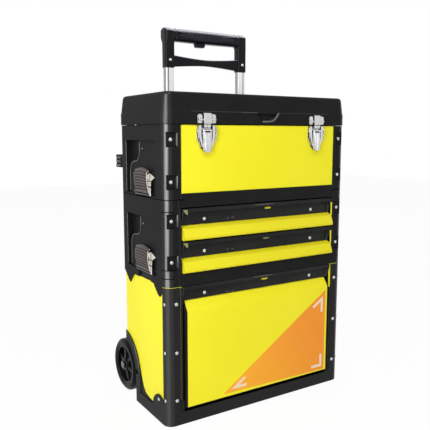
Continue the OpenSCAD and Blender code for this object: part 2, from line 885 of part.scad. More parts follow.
module front_lever(x) {
    half = latch_w / 2 - 2 - run_gap;
    foot = latch_foot_w / 2 - 1;
    end = lever_z - latch_l;
    color(chrome) translate([x, 0, 0]) difference() {
        union() {
            rod_x(-half, half, lever_y, lever_z, knuckle_r);
            along_y(lever_y - 1.6, lever_y + 0.6) polygon([
                [-half, lever_z], [half, lever_z], [half, lever_z - 16], [foot, end + 4],
                [foot - 4, end], [4 - foot, end], [-foot, end + 4], [-half, lever_z - 16]
            ]);
            // Raised middle and turned-up finger edge
            along_y(lever_y - 3.2, lever_y - 1.5) polygon([
                [-half * 0.45, lever_z - 6], [half * 0.45, lever_z - 6],
                [foot * 0.55, end + 8], [-foot * 0.55, end + 8]
            ]);
            box([4 - foot, lever_y - 5, end], [foot - 4, lever_y - 1, end + 2]);
        }
        rod_x(-half - 1, half + 1, lever_y, lever_z, lever_pin_r + pin_gap);
    }
}

// ---- Side latches ----

// i is 0 for the pair on the middle unit, 1 for the pair on the top box
function pivot_z(i) = latch_unit[i] + latch_rise[i];

// Plate with a pointed ear towards the front, cheeks and pin of a side latch
module side_latch_brackets() {
    y0 = latch_y - side_lever_w / 2;
    y1 = latch_y + side_lever_w / 2;
    base_x = side - recess_d;
    ear_tip = 3 - recess_front;
    color(chrome) both_sides() for (i = [0, 1]) {
        z = pivot_z(i);
        along_x(base_x, base_x + plate_t) polygon([
            [y1 + 2, z - 8], [y1 + 2, z + 4], [y0 - 4, z + 4], [y0 - 10, z - 4],
            [ear_tip, z - 12], [y0 - 6, z - 20], [y0, z - 8]
        ]);
        for (y = [y0 - run_gap - 2, y1 + run_gap]) {
            box([base_x, y, z - 8], [latch_pivot_x + 3, y + 2, z + 4]);
        }
        rod_y(y0 - 2, y1 + 2, latch_pivot_x, z, latch_pin_r);
    }
}

// Convex finger lever with ribs along it, on the +X side
module side_lever(i) {
    z = pivot_z(i);
    y0 = latch_y - side_lever_w / 2;
    y1 = latch_y + side_lever_w / 2;
    bow_r = 62;
    bow_x = side + side_lever_out - bow_r;
    bow_z = z - side_lever_l * 0.45;
    color(grey) difference() {
        union() {
            intersection() {
                rod_y(y0, y1, bow_x, bow_z, bow_r);
                box([hook_x + plate_t, y0, z - side_lever_l], [side + 20, y1, z]);
            }
            rod_y(y0, y1, latch_pivot_x, z, side_barrel_r);
        }
        rod_y(y0 - 1, y1 + 1, latch_pivot_x, z, latch_pin_r + pin_gap);
        // Grooves between the ribs
        for (k = [0:7]) {
            a = -24 + k * 5.6;
            rod_y(y0 + 6, y1 - 6, bow_x + bow_r * cos(a), bow_z + bow_r * sin(a), 1.1);
        }
    }
}

// Steel hook behind the lever, with a lip that reaches in under the lug
module side_hook(i) {
    z = pivot_z(i);
    low = z - hook_l;
    tip_x = lug_x + run_gap * 2;
    color(chrome) along_y(latch_y - hook_w / 2, latch_y + hook_w / 2) polygon([
        [tip_x, low], [hook_x + plate_t, low], [hook_x + plate_t, z - side_barrel_r - 1.5],
        [hook_x, z - side_barrel_r - 1.5], [hook_x, low + hook_lip_t], [tip_x, low + hook_lip_t]
    ]);
}

// Lugs that stand up from the unit below, with a bead that the hook pulls on
module strike_lugs() {
    color(chrome) both_sides() for (i = [0, 1]) {
        bead_z = pivot_z(i) - hook_l + hook_lip_t + lug_play;
        foot_z = latch_unit[i] - lug_foot[i];
        along_y(latch_y - lug_w / 2, latch_y + lug_w / 2) polygon([
            [lug_x - lug_t, foot_z], [lug_x, foot_z], [lug_x, bead_z],
            [side - 0.8, bead_z], [side - 0.8, bead_z + 3], [lug_x - lug_t, bead_z + 3]
        ]);
    }
}

// ---- Fronts ----

// Foot of a bent steel front in Y and Z, with or without a folded edge
function front_foot(z0, proud, folded) = folded
    ? [[front - proud + drawer_fold_d, z0], [front - proud, z0 + drawer_fold_h]]
    : [[front - proud, z0]];

// Path of a bent steel front from its foot up into the pull channel
function front_path(z0, zt, proud, slope_h, h, folded) = concat(front_foot(z0, proud, folded), [
    [front - proud, zt - h - slope_h], [channel_y, zt - h], [channel_y, zt - 1]
]);

// Steel front with its side flanges and the small tongue in its pull channel
module steel_front(half, z0, zt, proud, slope_h, h, folded) {
    path = front_path(z0, zt, proud, slope_h, h, folded);
    last = len(path) - 1;
    inner = [for (i = [last:-1:0]) path[i] + [sheet_t, 0]];
    along_x(-half, half) polygon(concat(path, inner));
    both_sides() along_x(half - sheet_t, half) polygon(concat(
        [for (i = [0:last - 2]) path[i]],
        [path[last - 1] + [0, -0.01], [tray_y, zt - h], [tray_y, z0]]
    ));
    box([-11, channel_y - trim_t - 0.6, zt - 16], [11, channel_y + 0.5, zt - 10]);
}

// Black trim that makes the finger channel along the top of a front
module pull_trim(zt, h) {
    lip_y = front - 1;
    difference() {
        union() {
            along_x(-trim_half, trim_half) polygon([
                [channel_y - trim_t, zt - h], [channel_y, zt - h], [channel_y, zt - 1], [channel_y, zt],
                [lip_y, zt], [lip_y, zt - lip_drop], [lip_y + trim_t, zt - lip_drop],
                [lip_y + trim_t, zt - trim_t], [channel_y - trim_t, zt - trim_t]
            ]);
            both_sides() along_x(trim_half - trim_t, trim_half) polygon([
                [lip_y, zt - lip_drop], [lip_y, zt], [channel_y, zt], [channel_y, zt - h],
                [channel_y - trim_t, zt - h]
            ]);
        }
        box([-11 - run_gap, channel_y - trim_t - 1, zt - 16 - run_gap],
            [11 + run_gap, channel_y + 1, zt - 10 + run_gap]);
    }
}

module front_rivets(zt, drop) {
    for (x = [-trim_rivet_x, trim_rivet_x]) {
        rivet_front(x, channel_y - trim_t, zt - drop);
    }
}

// ---- Drawers ----

// i is 0 for the lower drawer, 1 for the upper one
module drawer_tray(i) {
    z0 = drawer_z[i] + tray_lift;
    z1 = drawer_z[i] + drawer_h - 10 + lip_t;
    color(black) {
        difference() {
            box([-tray_half, tray_y, z0], [tray_half, tray_y + tray_l, z1]);
            box([-tray_half + 1.5, tray_y + 1.5, z0 + 1.5], [tray_half - 1.5, tray_y + tray_l - 1.5, z1 + 1]);
        }
        both_sides()
            box([tray_half - 1, tray_y + 3, z1 - lip_t], [tray_half + lip_w, tray_y + tray_l, z1]);
    }
}

module drawer_front(i) {
    color(yellow)
        steel_front(front_half, drawer_z[i], drawer_z[i] + drawer_h, drawer_proud, trim_h * 0.22,
            trim_h, true);
}

module drawer_trim(i) {
    color(black) pull_trim(drawer_z[i] + drawer_h, trim_h);
}

module drawer_rivets(i) {
    color(chrome) front_rivets(drawer_z[i] + drawer_h, trim_h * 0.7);
}

// ---- Bin ----

module bin_tub() {
    y_front = front - bin_proud + sheet_t;
    y_back = y_front + bin_d;
    slope_z = bin_top - bin_trim_h;
    inner_x = bin_half - sheet_t;
    color(black) {
        both_sides() {
            along_x(bin_wall_x, bin_out_x) intersection() {
                translate([bin_y, bin_pin_z]) circle(bin_swing_r, $fn = 128);
                polygon([
                    [y_front, bin_z], [y_front, slope_z - 24], [tray_y - 1, slope_z],
                    [tray_y - 1, bin_top], [y_back, bin_top], [y_back, bin_z]
                ]);
            }
            rod_x(bin_wall_x, ear_x + ear_t - 1, bin_y, bin_pin_z, bin_pin_r);
        }
        box([-bin_wall_x, tray_y, bin_z], [bin_wall_x, y_back, bin_z + wall]);
        box([-bin_wall_x, y_back - wall, bin_z], [bin_wall_x, y_back, bin_z + bin_back_h]);
        // Floor and front wall between the steel front's flanges
        box([-inner_x, y_front, bin_z], [inner_x, tray_y, bin_z + wall]);
        box([-inner_x, y_front, bin_z], [inner_x, y_front + 2, slope_z - 26]);
    }
}

module bin_front() {
    color(yellow) steel_front(bin_half, bin_z, bin_top, bin_proud, 24, bin_trim_h, false);
}

module bin_trim() {
    color(black) pull_trim(bin_top, bin_trim_h);
}

module bin_rivets() {
    color(chrome) front_rivets(bin_top, bin_trim_h * 0.67);
}

// Three-cornered sticker at the bin's lower right
module bin_sticker() {
    y = front - bin_proud;
    x1 = bin_half * 0.97;
    z0 = bin_z + 4;
    color([0.95, 0.5, 0.1]) along_y(y - 0.3, y)
        polygon([[x1 - sticker_w, z0 + 5], [x1, z0], [x1, z0 + sticker_h]]);
}

// ---- Trolley handle ----

module tube_outline(w, d) {
    rounded(w, d, d / 2 - 0.5);
}

module handle_sleeves() {
    color(chrome) both_sides() translate([tube_x, tube_y, sleeve_low])
        linear_extrude(sleeve_high - sleeve_low) difference() {
            tube_outline(sleeve_w, sleeve_d);
            tube_outline(sleeve_w - 2 * tube_t, sleeve_d - 2 * tube_t);
        }
}

module sleeve_brackets() {
    color(black) both_sides() for (z = bracket_levels) {
        difference() {
            box([tube_x - sleeve_w / 2 - 8, sheet_back, z],
                [tube_x + sleeve_w / 2 + 8, tube_y + sleeve_d / 2 + 4, z + bracket_h]);
            translate([tube_x, tube_y, z - 1]) linear_extrude(bracket_h + 2) tube_outline(sleeve_w, sleeve_d);
        }
    }
}

module handle_tubes() {
    color(chrome) both_sides() translate([tube_x, tube_y, tube_low]) linear_extrude(grip_low + 30 - tube_low)
        difference() {
            tube_outline(tube_w, tube_d);
            tube_outline(tube_w - 2 * tube_t, tube_d - 2 * tube_t);
        }
}

// Rounded head of a grip post, which stands out to the back
module post_head() {
    head_d = head_reach + grip_r;
    head_y = tube_y + (head_reach - grip_r) / 2;
    intersection() {
        along_x(tube_x - post_w / 2, tube_x + post_w / 2) translate([head_y, grip_high - head_h / 2])
            rounded(head_d, head_h, 12);
        translate([tube_x, head_y, grip_high - head_h]) linear_extrude(head_h)
            rounded(post_w, head_d, 8);
    }
}

module handle_grip() {
    color(black) difference() {
        union() {
            both_sides() {
                translate([tube_x, tube_y, grip_low]) linear_extrude(grip_high - grip_low - head_h / 2)
                    rounded(post_w, post_d, 6);
                post_head();
            }
            along_x(-tube_x, tube_x) translate([tube_y, (bar_low + grip_high) / 2])
                rounded(2 * grip_r, grip_bar_h, grip_r - 0.01);
            // Cross tie between the posts
            along_y(tube_y - 7, tube_y + 7) polygon([
                [-tube_x, tie_z - 14], [-tube_x + 24, tie_z - 12], [-tube_x + 52, tie_z - 8.5],
                [tube_x - 52, tie_z - 8.5], [tube_x - 24, tie_z - 12], [tube_x, tie_z - 14],
                [tube_x, tie_z + 14], [tube_x - 24, tie_z + 12], [tube_x - 52, tie_z + 8.5],
                [-tube_x + 52, tie_z + 8.5], [-tube_x + 24, tie_z + 12], [-tube_x, tie_z + 14]
            ]);
        }
        both_sides() translate([tube_x, tube_y, grip_low - 1]) linear_extrude(31)
            tube_outline(tube_w, tube_d);
        box([button_x - button_w / 2 - run_gap, tube_y - button_d / 2 - run_gap, bar_low - 1],
            [button_x + button_w / 2 + run_gap, tube_y + button_d / 2 + run_gap, bar_low + 18]);
    }
}

module grip_rivets() {
    color(chrome) both_sides() rivet_front(tube_x, tube_y - post_d / 2, tie_z + 1);
}

module release_button() {
    color(black) box([button_x - button_w / 2, tube_y - button_d / 2, bar_low - button_out],
        [button_x + button_w / 2, tube_y + button_d / 2, bar_low + 18 - button_travel - 1]);
}

// ---- Wheels, on the +X side ----

module tyre() {
    tread = wheel_r - rim_r;
    color(black) translate([wheel_x, axle_y, wheel_z]) rotate([0, 90, 0])
        rotate_extrude($fn = 96) difference() {
            translate([rim_r, 0]) square([tread, wheel_w]);
            for (v = [0, wheel_w]) {
                translate([wheel_r, v]) rotate(45) square(6, center = true);
            }
        }
}

module rim() {
    spokes = 6;
    hub_r = axle_r + 9;
    color(black) translate([wheel_x, axle_y, wheel_z]) rotate([0, 90, 0]) difference() {
        union() {
            rotate_extrude($fn = 96) translate([rim_r - 4, 0]) square([4, wheel_w]);
            rotate_extrude($fn = 96) translate([hub_r - 3, wheel_w / 2 - 2]) square([rim_r - hub_r + 1, 4]);
            cylinder(r = hub_r, h = wheel_w - 1, $fn = 48);
            for (k = [0:spokes - 1]) {
                rotate(k * 360 / spokes) translate([hub_r - 2, -3, 5]) cube([rim_r - hub_r, 6, wheel_w - 12]);
            }
        }
        translate([0, 0, -1]) cylinder(r = axle_r + pin_gap, h = wheel_w + 2, $fn = 48);
    }
}

// ---- Rivets on the body ----

module body_rivets() {
    color(chrome) both_sides() {
        for (z = lower_rivets) {
            rivet_front(post_rivet_x, front, z);
            rivet_side(side - 2, post_rivet_y, z);
        }
        for (z = concat(middle_dimples, top_dimples)) {
            rivet_front(dimple_x, front + dimple_d, z);
        }
        rivet_side(side, cap_y, base_h + cap_h - 11);
    }
}

base_tray();
lower_sheet();
corner_posts();
lower_top_frame();
foot_caps();
wheel_arches();
axle();
middle_ends();
middle_floor();
middle_top_frame();
middle_back();
drawer_guides();
top_ends();
top_sheet();
top_floor();
top_back();
tote_tray();
latch_bases();
handle_sleeves();
sleeve_brackets();
hinge_bases();
side_latch_brackets();
strike_lugs();
body_rivets();
lid_shell();
lid_catches();
lid_hinge_leaves();
carry_handle();
front_lever(-latch_x);  // front_lever_left
front_lever(latch_x);  // front_lever_right
mirror([1, 0, 0]) side_lever(1);  // side_lever_upper_left
side_lever(1);  // side_lever_upper_right
mirror([1, 0, 0]) side_lever(0);  // side_lever_lower_left
side_lever(0);  // side_lever_lower_right
mirror([1, 0, 0]) side_hook(1);  // side_hook_upper_left
side_hook(1);  // side_hook_upper_right
mirror([1, 0, 0]) side_hook(0);  // side_hook_lower_left
side_hook(0);  // side_hook_lower_right
drawer_tray(1);  // upper_drawer_tray
drawer_front(1);  // upper_drawer_front
drawer_trim(1);  // upper_drawer_trim
drawer_rivets(1);  // upper_drawer_rivets
drawer_tray(0);  // lower_drawer_tray
drawer_front(0);  // lower_drawer_front
drawer_trim(0);  // lower_drawer_trim
drawer_rivets(0);  // lower_drawer_rivets
bin_tub();
bin_front();
bin_trim();
bin_rivets();
bin_sticker();
handle_tubes();
handle_grip();
grip_rivets();
release_button();
mirror([1, 0, 0]) tyre();  // tyre_left
tyre();  // tyre_right
mirror([1, 0, 0]) rim();  // rim_left
rim();  // rim_right
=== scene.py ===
import json
import math
import bmesh
import bpy
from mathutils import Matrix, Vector


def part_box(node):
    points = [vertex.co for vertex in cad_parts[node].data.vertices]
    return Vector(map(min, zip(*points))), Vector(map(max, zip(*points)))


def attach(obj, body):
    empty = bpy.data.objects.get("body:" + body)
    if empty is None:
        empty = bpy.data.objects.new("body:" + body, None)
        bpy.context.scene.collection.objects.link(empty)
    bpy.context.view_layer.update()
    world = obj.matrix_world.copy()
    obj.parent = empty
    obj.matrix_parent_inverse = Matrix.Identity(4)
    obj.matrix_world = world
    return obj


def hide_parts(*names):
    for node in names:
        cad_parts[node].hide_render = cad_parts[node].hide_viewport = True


# Looks of a rolling tool box: three stacked units on two wheels.
# Camera, floor and lights are set in metres, all the rest in millimetres
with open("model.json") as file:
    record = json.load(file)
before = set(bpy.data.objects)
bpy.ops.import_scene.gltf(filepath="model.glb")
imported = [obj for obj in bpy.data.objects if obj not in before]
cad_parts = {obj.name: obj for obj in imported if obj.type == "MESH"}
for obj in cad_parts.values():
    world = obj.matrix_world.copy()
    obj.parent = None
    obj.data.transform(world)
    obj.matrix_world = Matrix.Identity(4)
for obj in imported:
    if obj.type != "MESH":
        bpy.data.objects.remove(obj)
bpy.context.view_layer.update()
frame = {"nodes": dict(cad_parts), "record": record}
nodes = frame["nodes"]
scene = bpy.context.scene
mm = 0.001
sides = ((-1, "left"), (1, "right"))
print("frame loaded,", len(nodes), "solids")


# Puts a camera or a lamp in its place, looking along a direction
def aimed(name, data, place, way):
    thing = bpy.data.objects.new(name, data)
    thing.location = place
    thing.rotation_mode = "QUATERNION"
    thing.rotation_quaternion = Vector(way).to_track_quat("-Z", "Y")
    scene.collection.objects.link(thing)
    return thing


camSet = {
    "place": (-0.7952, -1.1773, 0.6308),
    "forward": (0.52656, 0.83924, -0.13570),
    "lens": 48.8,
    "sensor": 36,
}
camData = bpy.data.cameras.new("shotCamera")
camData.lens = camSet["lens"]
camData.sensor_width = camSet["sensor"]
scene.camera = aimed("shotCamera", camData, camSet["place"], camSet["forward"])
scene.view_settings.view_transform = "Standard"


# A socket with the usual operators: each one adds a Math node
class Val:
    def __init__(self, graph, socket):
        self.graph = graph
        self.socket = socket

    def __add__(self, other):
        return self.graph.calc("ADD", self, other)

    def __radd__(self, other):
        return self.graph.calc("ADD", other, self)

    def __sub__(self, other):
        return self.graph.calc("SUBTRACT", self, other)

    def __rsub__(self, other):
        return self.graph.calc("SUBTRACT", other, self)

    def __mul__(self, other):
        return self.graph.calc("MULTIPLY", self, other)

    def __rmul__(self, other):
        return self.graph.calc("MULTIPLY", other, self)


class Graph:
    def __init__(self, tree):
        self.tree = tree
        tree.nodes.clear()

    # Any node: its type, its settings, the values or links of its sockets, the output that is wanted
    def add(self, kind, settings=None, sockets=None, out=0):
        node = self.tree.nodes.new(kind)
        for key, value in (settings or {}).items():
            setattr(node, key, value)
        for key, value in (sockets or {}).items():
            self.plug(node.inputs[key], value)
        return Val(self, node.outputs[out]) if len(node.outputs) else node

    def plug(self, socket, value):
        if isinstance(value, Val):
            self.tree.links.new(value.socket, socket)
        else:
            socket.default_value = (*value, 1) if socket.type == "RGBA" else value

    def calc(self, operation, a, b):
        return self.add("ShaderNodeMath", {"operation": operation}, {0: a, 1: b})

    def vector(self, operation, sockets, out=0):
        return self.add("ShaderNodeVectorMath", {"operation": operation}, sockets, out)

    # A value between two limits as a share from 0 to 1
    def share(self, a, low, high):
        limits = {"Value": a, "From Min": low, "From Max": high}
        return self.add("ShaderNodeMapRange", {"interpolation_type": "SMOOTHSTEP"}, limits)

    def blend(self, factor, a, b):
        return self.add("ShaderNodeMix", {"data_type": "RGBA"}, {0: factor, 6: a, 7: b}, 2)

    def place(self):
        return self.add("ShaderNodeTexCoord", out=3)  # point in the object's own space

    def facing(self):
        return self.add("ShaderNodeTexCoord", out=1)  # normal in the object's own space

    def part(self, vector, axis):
        return self.add("ShaderNodeSeparateXYZ", {}, {0: vector}, axis)

    def noise(self, vector, scale, detail):
        return self.add("ShaderNodeTexNoise", {}, {"Vector": vector, "Scale": scale, "Detail": detail})

    def bump(self, height, depth, strength):
        sockets = {"Height": height, "Distance": depth * mm, "Strength": strength}
        return self.add("ShaderNodeBump", {}, sockets)

    # 1 on edges and corners, 0 on flat faces: where a rounded normal leaves the true one
    def edges(self, radius):
        soft = self.add("ShaderNodeBevel", {"samples": 4}, {"Radius": radius * mm})
        flat = self.add("ShaderNodeNewGeometry", out=1)
        return self.share(1 - self.vector("DOT_PRODUCT", {0: soft, 1: flat}, 1), 0.004, 0.08)

    # 1 where a surface turns from one side of the object to the next: the upright rounded corners
    def corners(self, low=0.04, high=0.3):
        facing = self.facing()
        turning = self.part(facing, 0) * self.part(facing, 1)
        return self.share(self.calc("ABSOLUTE", turning, 0), low, high)

    # 1 where a face turns towards a direction, or either way along it
    def towards(self, way, bothWays=False):
        facing = self.facing()
        if bothWays:
            facing = self.vector("ABSOLUTE", {0: facing})
        return self.share(self.vector("DOT_PRODUCT", {0: facing, 1: way}, 1), 0.1, 0.9)

    # 1 in seams and inner corners: the mask for painted shade there
    def creviceShadow(self, reach):
        clear = self.add("ShaderNodeAmbientOcclusion", {"samples": 6}, {"Distance": reach * mm}, 1)
        return 1 - self.share(clear, 0.25, 0.9)

    # 1 for rays from the camera, from glossy faces and from mirrors or glass
    def seen(self):
        straight, glossy, sharp = [self.add("ShaderNodeLightPath", out=k) for k in (0, 3, 4)]
        return self.calc("MAXIMUM", self.calc("MAXIMUM", straight, glossy), sharp)

    def surface(self, sockets):
        shader = self.add("ShaderNodeBsdfPrincipled", {}, sockets)
        self.add("ShaderNodeOutputMaterial", {}, {"Surface": shader})


def newMaterial(name):
    material = bpy.data.materials.new(name)
    material.use_nodes = True
    return material, Graph(material.node_tree)


# Moulded plastic: fine grain, slow patches in its gloss and paler, smoother edges, partly wear and partly
# painted highlight
def mouldedPlastic(name, look):
    material, g = newMaterial(name)
    where = g.place()
    patches = g.noise(where, look["patchScale"], 3)
    grain = g.noise(where, look["grainScale"], 2)
    wornAndLitEdges = g.edges(look["edgeWidth"]) * g.share(g.noise(where, look["wornScale"], 3), 0.35, 0.65)
    runs = g.vector("MULTIPLY", {0: where, 1: look["dustStretch"]})
    dust = g.share(g.noise(runs, look["dustScale"], 4), 0.5, 0.8)
    body = g.blend(g.share(patches, 0.3, 0.7), look["shade"], look["patchShade"])
    # Paler edges: partly wear, partly painted highlight
    body = g.blend(wornAndLitEdges * look["edgeMix"], body, look["edgeShade"])
    body = g.blend(dust * look["dustMix"], body, look["dustShade"])
    # Painted highlight: a paler line down the upright corners
    if look["cornerHighlightMix"]:
        lit = g.corners(0.41, 0.5) * look["cornerHighlightMix"] * (0.85 + patches * 0.3)
        body = g.blend(lit, body, look["cornerHighlightShade"])
    # Painted highlight on faces that look up and forward
    if look["capHighlightMix"]:
        lit = g.share(g.towards(look["capHighlightWay"]), 0.75, 1.0) * look["capHighlightMix"]
        body = g.blend(lit, body, look["capHighlightShade"])
    # Painted shade in grooves and inner corners
    if look["grooveShadowMix"]:
        body = g.blend(g.creviceShadow(look["grooveShadowReach"]) * look["grooveShadowMix"], body, look["grooveShadow"])
    g.surface({
        "Base Color": body,
        "Roughness": look["rough"] + (patches - 0.5) * look["roughPatch"] + dust * 0.06 - wornAndLitEdges * 0.05,
        "Specular IOR Level": look["specular"],
        "Coat Weight": g.corners() * look["cornerGloss"],
        "Coat Roughness": look["coatRough"],
        "Coat IOR": look["coatIor"],
        "Normal": g.bump(grain, look["grainDepth"], look["grainStrength"]),
    })
    return material


blackSet = {
    "shade": (0.009, 0.009, 0.0095),
    "patchShade": (0.012, 0.012, 0.0125),
    "patchScale": 9,
    "edgeShade": (0.07, 0.07, 0.075),
    "edgeMix": 0.35,
    "edgeWidth": 1.0,
    "wornScale": 60,
    "dustShade": (0.05, 0.05, 0.05),
    "dustMix": 0.06,
    "dustScale": 14,
    "dustStretch": (1, 1, 0.35),
    # Painted highlight down the upright corners
    "cornerHighlightShade": (0.3, 0.3, 0.29),  # light line down the upright corners
    "cornerHighlightMix": 0.78,
    # Painted highlight on faces that look up and forward
    "capHighlightShade": (0.5, 0.5, 0.58),  # light on faces that look up and forward
    "capHighlightMix": 0.0,
    "capHighlightWay": (0.2, -0.5, 0.84),
    # Painted shade in grooves
    "grooveShadow": (0.004, 0.0035, 0.003),
    "grooveShadowMix": 0.0,
    "grooveShadowReach": 2.0,
    "rough": 0.58,
    "roughPatch": 0.08,
    "specular": 0.08,
    "cornerGloss": 0.35,
    "coatRough": 0.2,
    "coatIor": 1.6,
    "grainScale": 1500,
    "grainDepth": 0.12,
    "grainStrength": 0.35,
}
plainSet = {**blackSet, "cornerGloss": 0.0, "cornerHighlightMix": 0.0}  # no light line
evenSet = {**plainSet, "edgeMix": 0.0, "dustMix": 0.0}  # no worn edges or dust either
blackPlastic = mouldedPlastic("blackPlastic", blackSet)
lidPlastic = mouldedPlastic("lidPlastic", {**blackSet, "cornerGloss": 0.3, "cornerHighlightMix": 0.3})
trayPlastic = mouldedPlastic("trayPlastic", {**blackSet, "shade": (0.014, 0.014, 0.015), "rough": 0.5})
postPlastic = mouldedPlastic("postPlastic", {
    **blackSet, "shade": (0.012, 0.012, 0.014), "cornerGloss": 0.3, "cornerHighlightMix": 0.1, "specular": 0.15,
})
trimPlastic = mouldedPlastic("trimPlastic", {
    **blackSet, "shade": (0.02, 0.0205, 0.02), "rough": 0.5, "specular": 0.12,
})
glossPlastic = mouldedPlastic("glossPlastic", {
    **plainSet, "shade": (0.03, 0.03, 0.031), "rough": 0.22, "specular": 0.8,
})
sheenPlastic = mouldedPlastic("sheenPlastic", {
    **plainSet, "shade": (0.05, 0.05, 0.052), "patchShade": (0.06, 0.06, 0.062), "rough": 0.26,
    "specular": 1.0,
})
rimPlastic = mouldedPlastic("rimPlastic", {
    **plainSet, "shade": (0.004, 0.004, 0.005), "rough": 0.28, "specular": 0.16, "edgeMix": 0.6,
    "edgeWidth": 1.4,
})
gripPlastic = mouldedPlastic("gripPlastic", {
    **plainSet, "shade": (0.004, 0.004, 0.006), "patchShade": (0.007, 0.007, 0.01), "rough": 0.17,
    "roughPatch": 0.06, "capHighlightMix": 0.55, "specular": 0.14, "edgeMix": 0.5, "grainScale": 500,
    "grainStrength": 0.1,
})
padPlastic = mouldedPlastic("padPlastic", {
    **evenSet, "shade": (0.015, 0.015, 0.023), "patchShade": (0.019, 0.019, 0.028), "rough": 0.2,
    "specular": 0.16, "grainStrength": 0.05,
})
# Pale plastic for the grip's line: painted highlight
highlightLinePlastic = mouldedPlastic("highlightLinePlastic", {
    **evenSet, "shade": (0.1, 0.1, 0.12), "patchShade": (0.11, 0.11, 0.13), "rough": 0.25,
    "specular": 0.4, "grainStrength": 0.05,
})
leverPlastic = mouldedPlastic("leverPlastic", {
    **plainSet, "shade": (0.064, 0.054, 0.05), "patchShade": (0.075, 0.064, 0.06),
    "edgeShade": (0.2, 0.18, 0.17), "rough": 0.36, "specular": 0.2, "grooveShadowReach": 2.6, "grooveShadowMix": 0.85,
})
# Dark matt plastic for painted shade in grooves
grooveShadowPlastic = mouldedPlastic("grooveShadowPlastic", {
    **plainSet, "shade": (0.012, 0.009, 0.008), "patchShade": (0.018, 0.014, 0.012), "rough": 0.6,
    "specular": 0.05, "edgeMix": 0.0,
})
# Open joints between the units: no gloss at all
seamPlastic = mouldedPlastic("seamPlastic", {
    **evenSet, "shade": (0.002, 0.002, 0.002), "patchShade": (0.003, 0.003, 0.003), "rough": 0.9,
    "specular": 0.0, "dustMix": 0.02,
})


# Powder coat on sheet steel: fine orange peel, faint tone patches, rubbed edges
def powderCoat(name, look):
    material, g = newMaterial(name)
    where = g.place()
    slow = g.noise(where, look["toneScale"], 2)
    rubbed = g.edges(look["edgeWidth"]) * g.share(g.noise(where, look["wornScale"], 3), 0.45, 0.7)
    runs = g.vector("MULTIPLY", {0: where, 1: look["smearStretch"]})
    smear = g.share(g.noise(runs, look["smearScale"], 4), 0.45, 0.85)
    body = g.blend(g.share(slow, 0.3, 0.7), look["shade"], look["toneShade"])
    body = g.blend(rubbed * look["edgeMix"], body, look["edgeShade"])
    g.surface({
        "Base Color": body,
        "Roughness": look["rough"] + smear * 0.06 + (slow - 0.5) * 0.05,
        "Specular IOR Level": look["specular"],
        "Normal": g.bump(g.noise(where, look["peelScale"], 1), look["peelDepth"], look["peelStrength"]),
    })
    return material


coatSet = {
    "shade": (0.915, 0.83, 0.014),
    "toneShade": (0.935, 0.86, 0.022),
    "toneScale": 5,
    "edgeShade": (0.98, 0.93, 0.2),
    "edgeMix": 0.5,
    "edgeWidth": 0.8,
    "wornScale": 90,
    "smearScale": 9,
    "smearStretch": (1, 1, 3),
    "rough": 0.42,
    "specular": 0.25,
    "peelScale": 420,
    "peelDepth": 0.12,
    "peelStrength": 0.25,
}
yellowCoat = powderCoat("yellowCoat", coatSet)
# Darker copy of the yellow coat: painted shade on the drawer fronts
shadedDrawerCoat = powderCoat("shadedDrawerCoat", {
    **coatSet, "shade": (0.83, 0.735, 0.013), "toneShade": (0.85, 0.77, 0.02),
})
# Dull copy of the yellow coat: painted shade for small pieces that sit in shadow
shadedCoat = powderCoat("shadedCoat", {
    **coatSet, "shade": (0.26, 0.26, 0.09), "toneShade": (0.3, 0.3, 0.12), "edgeShade": (0.5, 0.5, 0.25),
})


# Bright plate or drawn metal: streaks along one direction, dull specks, painted shade in its seams, a
# painted darker reflection on faces turned one way and a painted glint on its edges
def brightMetal(name, look):
    material, g = newMaterial(name)
    where = g.place()
    streaks = g.noise(g.vector("MULTIPLY", {0: where, 1: look["streak"]}), look["streakScale"], 3)
    specks = g.share(g.noise(where, look["speckScale"], 2), 0.62, 0.75)
    tone = g.share(g.noise(where, look["toneScale"], 3), 0.3, 0.7)
    body = g.blend(tone, look["shade"], look["toneShade"])
    body = g.blend(specks * look["speckMix"], body, look["speckShade"])
    # Painted glint: paler colour on the edges
    body = g.blend(g.edges(look["edgeWidth"]) * look["edgeMix"], body, look["edgeShade"])
    # Painted reflection: darker colour on faces turned one way, or either way for the tubes' flanks
    body = g.blend(g.towards(look["darkReflectionWay"], look["bothWays"]) * look["darkReflectionMix"], body, look["darkReflectionShade"])
    # Painted shade in seams and inner corners
    body = g.blend(g.creviceShadow(look["seamShadowReach"]) * look["seamShadowMix"], body, look["seamShadow"])
    g.surface({
        "Base Color": body,
        "Metallic": 1.0,
        "Roughness": look["rough"] + (streaks - 0.5) * look["roughStreak"] + specks * 0.1,
        "Normal": g.bump(streaks, look["streakDepth"], look["streakStrength"]),
    })
    return material


chromeSet = {
    "shade": (0.74, 0.74, 0.755),
    "toneShade": (0.62, 0.62, 0.63),
    "toneScale": 25,
    "speckShade": (0.5, 0.49, 0.48),
    "speckMix": 0.25,
    "speckScale": 260,
    # Painted glint: paler colour on the edges
    "edgeShade": (0.92, 0.92, 0.93),
    "edgeMix": 0.4,
    "edgeWidth": 0.6,
    "streak": (1, 1, 1),
    "streakScale": 300,
    "streakDepth": 0.1,
    "streakStrength": 0.1,
    "rough": 0.14,
    "roughStreak": 0.08,
    # Painted reflection: faces turned right and down take a darker colour
    "darkReflectionWay": (0.9, 0, -0.6),
    "bothWays": False,
    "darkReflectionMix": 0.75,
    "darkReflectionShade": (0.27, 0.25, 0.24),
    # Painted shade in seams and inner corners
    "seamShadowReach": 5,
    "seamShadowMix": 0.92,
    "seamShadow": (0.07, 0.06, 0.065),
}
chromePlate = brightMetal("chromePlate", chromeSet)
zincPlate = brightMetal("zincPlate", {
    **chromeSet, "shade": (0.66, 0.66, 0.68), "toneShade": (0.56, 0.56, 0.57), "rough": 0.3,
})
